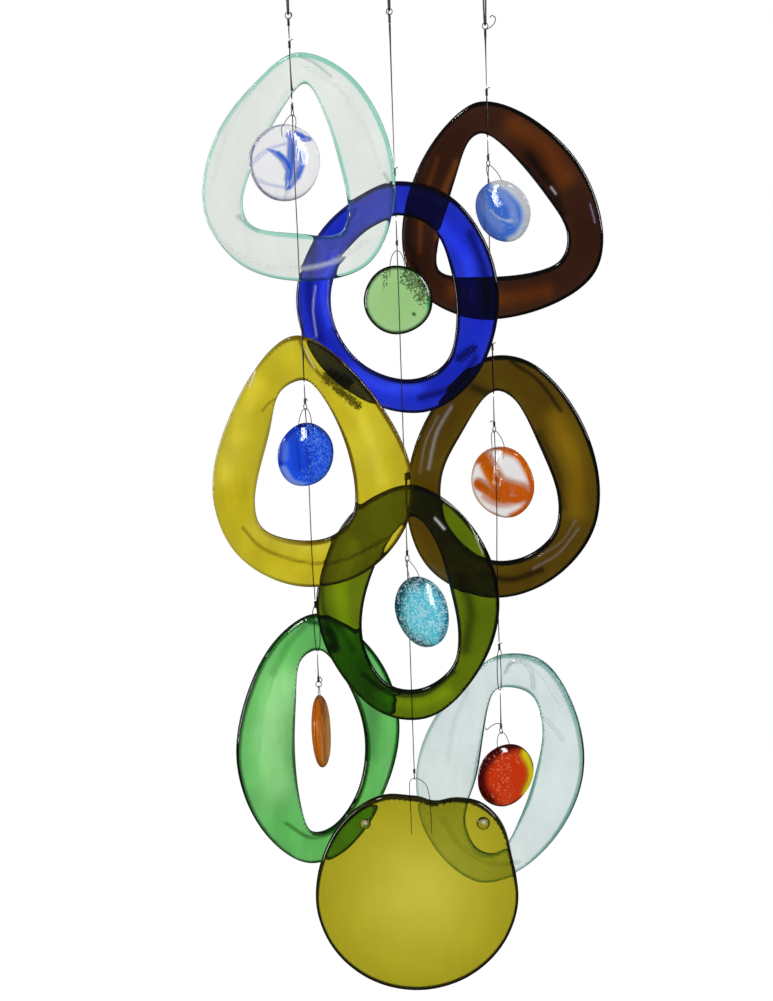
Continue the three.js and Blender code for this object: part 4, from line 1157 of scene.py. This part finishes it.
def set_camera(scene):
    """A camera in front of the chime, looking down on it a little and tilted a little."""
    camera = bpy.data.objects.new("camera", bpy.data.cameras.new("camera"))
    scene.collection.objects.link(camera)
    right, up = Vector((1, 0, 0)), Vector((0, math.sin(CAMERA_PITCH), math.cos(CAMERA_PITCH)))
    forward = Vector((0, math.cos(CAMERA_PITCH), -math.sin(CAMERA_PITCH)))
    c, s = math.cos(CAMERA_ROLL), math.sin(CAMERA_ROLL)
    axes = Matrix((c * right - s * up, s * right + c * up, -forward)).transposed().to_4x4()
    camera.matrix_world = Matrix.Translation(CAMERA_TARGET - CAMERA_DISTANCE * forward) @ axes
    camera.data.lens = CAMERA_LENS
    camera.data.sensor_width = CAMERA_SENSOR
    camera.data.clip_start = 0.01
    scene.camera = camera


def add_lamps(scene):
    """The lamps, each turned towards the middle of the view and hidden from what looks through glass."""
    for name, place, width, height, power, matt in LAMPS:
        lamp = bpy.data.objects.new(name, bpy.data.lights.new(name, "AREA"))
        scene.collection.objects.link(lamp)
        lamp.location = place
        lamp.rotation_euler = (CAMERA_TARGET - Vector(place)).to_track_quat("-Z", "Y").to_euler()
        lamp.data.shape = "RECTANGLE"
        lamp.data.size = width
        lamp.data.size_y = height
        lamp.data.energy = power
        lamp.visible_diffuse = matt
        lamp.visible_transmission = False


def light_world(scene):
    """White paper all round for the camera and through glass, darker overhead through glass, and a dim room
    in reflections."""
    world = bpy.data.worlds.new("studio")
    scene.world = world
    world.use_nodes = True
    tree = world.node_tree
    tree.nodes.clear()
    path = add(tree, "ShaderNodeLightPath").outputs
    place = add(tree, "ShaderNodeTexCoord").outputs["Generated"]
    towards = add(tree, "ShaderNodeSeparateXYZ", links={0: place})
    # White up to a quarter of the way to straight up, then dimmer towards the top.
    span = {"From Min": 0.25, "From Max": 0.85, "To Min": 1.0, "To Max": 0.12}
    overhead = add(tree, "ShaderNodeMapRange", span, {"Value": towards.outputs["Z"]})
    room = add(tree, MIX, {**NUMBERS, NUMBER_1: 0.75, NUMBER_2: 0.1}, {SHARE: path["Is Glossy Ray"]})
    through = add(
        tree, MIX, NUMBERS,
        {SHARE: path["Is Transmission Ray"], NUMBER_1: room.outputs[0], NUMBER_2: overhead.outputs[0]},
    )
    seen = add(
        tree, MIX, {**NUMBERS, NUMBER_2: 1.0},
        {SHARE: path["Is Camera Ray"], NUMBER_1: through.outputs[0]},
    )
    light = add(tree, "ShaderNodeBackground", {"Color": WHITE}, {"Strength": seen.outputs[0]})
    add(tree, "ShaderNodeOutputWorld", links={"Surface": light.outputs[0]})


class CHIME_OT_stage(bpy.types.Operator):
    """Sets up the floor, the light and the camera"""

    bl_idname = "chime.stage"
    bl_label = "Add stage"

    def execute(self, context):
        scene = context.scene
        height = CAD_BOX[0][2] - scene.chime_sizes.floor_drop
        floor = primitive(bpy.ops.mesh.primitive_plane_add, "floor", size=30, location=(0, 0, height))
        floor.data.materials.append(paper())
        set_camera(scene)
        add_lamps(scene)
        light_world(scene)
        scene.view_settings.view_transform = "Standard"
        return {"FINISHED"}


class CHIME_PT_panel(bpy.types.Panel):
    """Lists the pieces of the chime"""

    bl_label = "Wind chime"
    bl_idname = "CHIME_PT_panel"
    bl_space_type = "VIEW_3D"
    bl_region_type = "UI"
    bl_category = "Chime"

    def draw(self, context):
        for group in (context.scene.chime_sizes, context.scene.chime_colours):
            for key in group.__annotations__:
                self.layout.prop(group, key)
        for operator in OPERATORS:
            self.layout.operator(operator.bl_idname)


OPERATORS = (CHIME_OT_stage, CHIME_OT_rings, CHIME_OT_nuggets, CHIME_OT_disc, CHIME_OT_wires, CHIME_OT_rod)
CLASSES = (ChimeColours, ChimeSizes, *OPERATORS, CHIME_PT_panel)


def register():
    """Registers the classes and the scene's two groups of settings."""
    for cls in CLASSES:
        bpy.utils.register_class(cls)
    bpy.types.Scene.chime_colours = PointerProperty(type=ChimeColours)
    bpy.types.Scene.chime_sizes = PointerProperty(type=ChimeSizes)


def unregister():
    """Takes back what register added."""
    del bpy.types.Scene.chime_sizes
    del bpy.types.Scene.chime_colours
    for cls in reversed(CLASSES):
        bpy.utils.unregister_class(cls)


def main():
    """Makes every piece."""
    register()
    bpy.ops.chime.stage()
    bpy.ops.chime.rings()
    bpy.ops.chime.nuggets()
    bpy.ops.chime.disc()
    bpy.ops.chime.wires()
    bpy.ops.chime.rod()


if __name__ == "__main__":
    main()
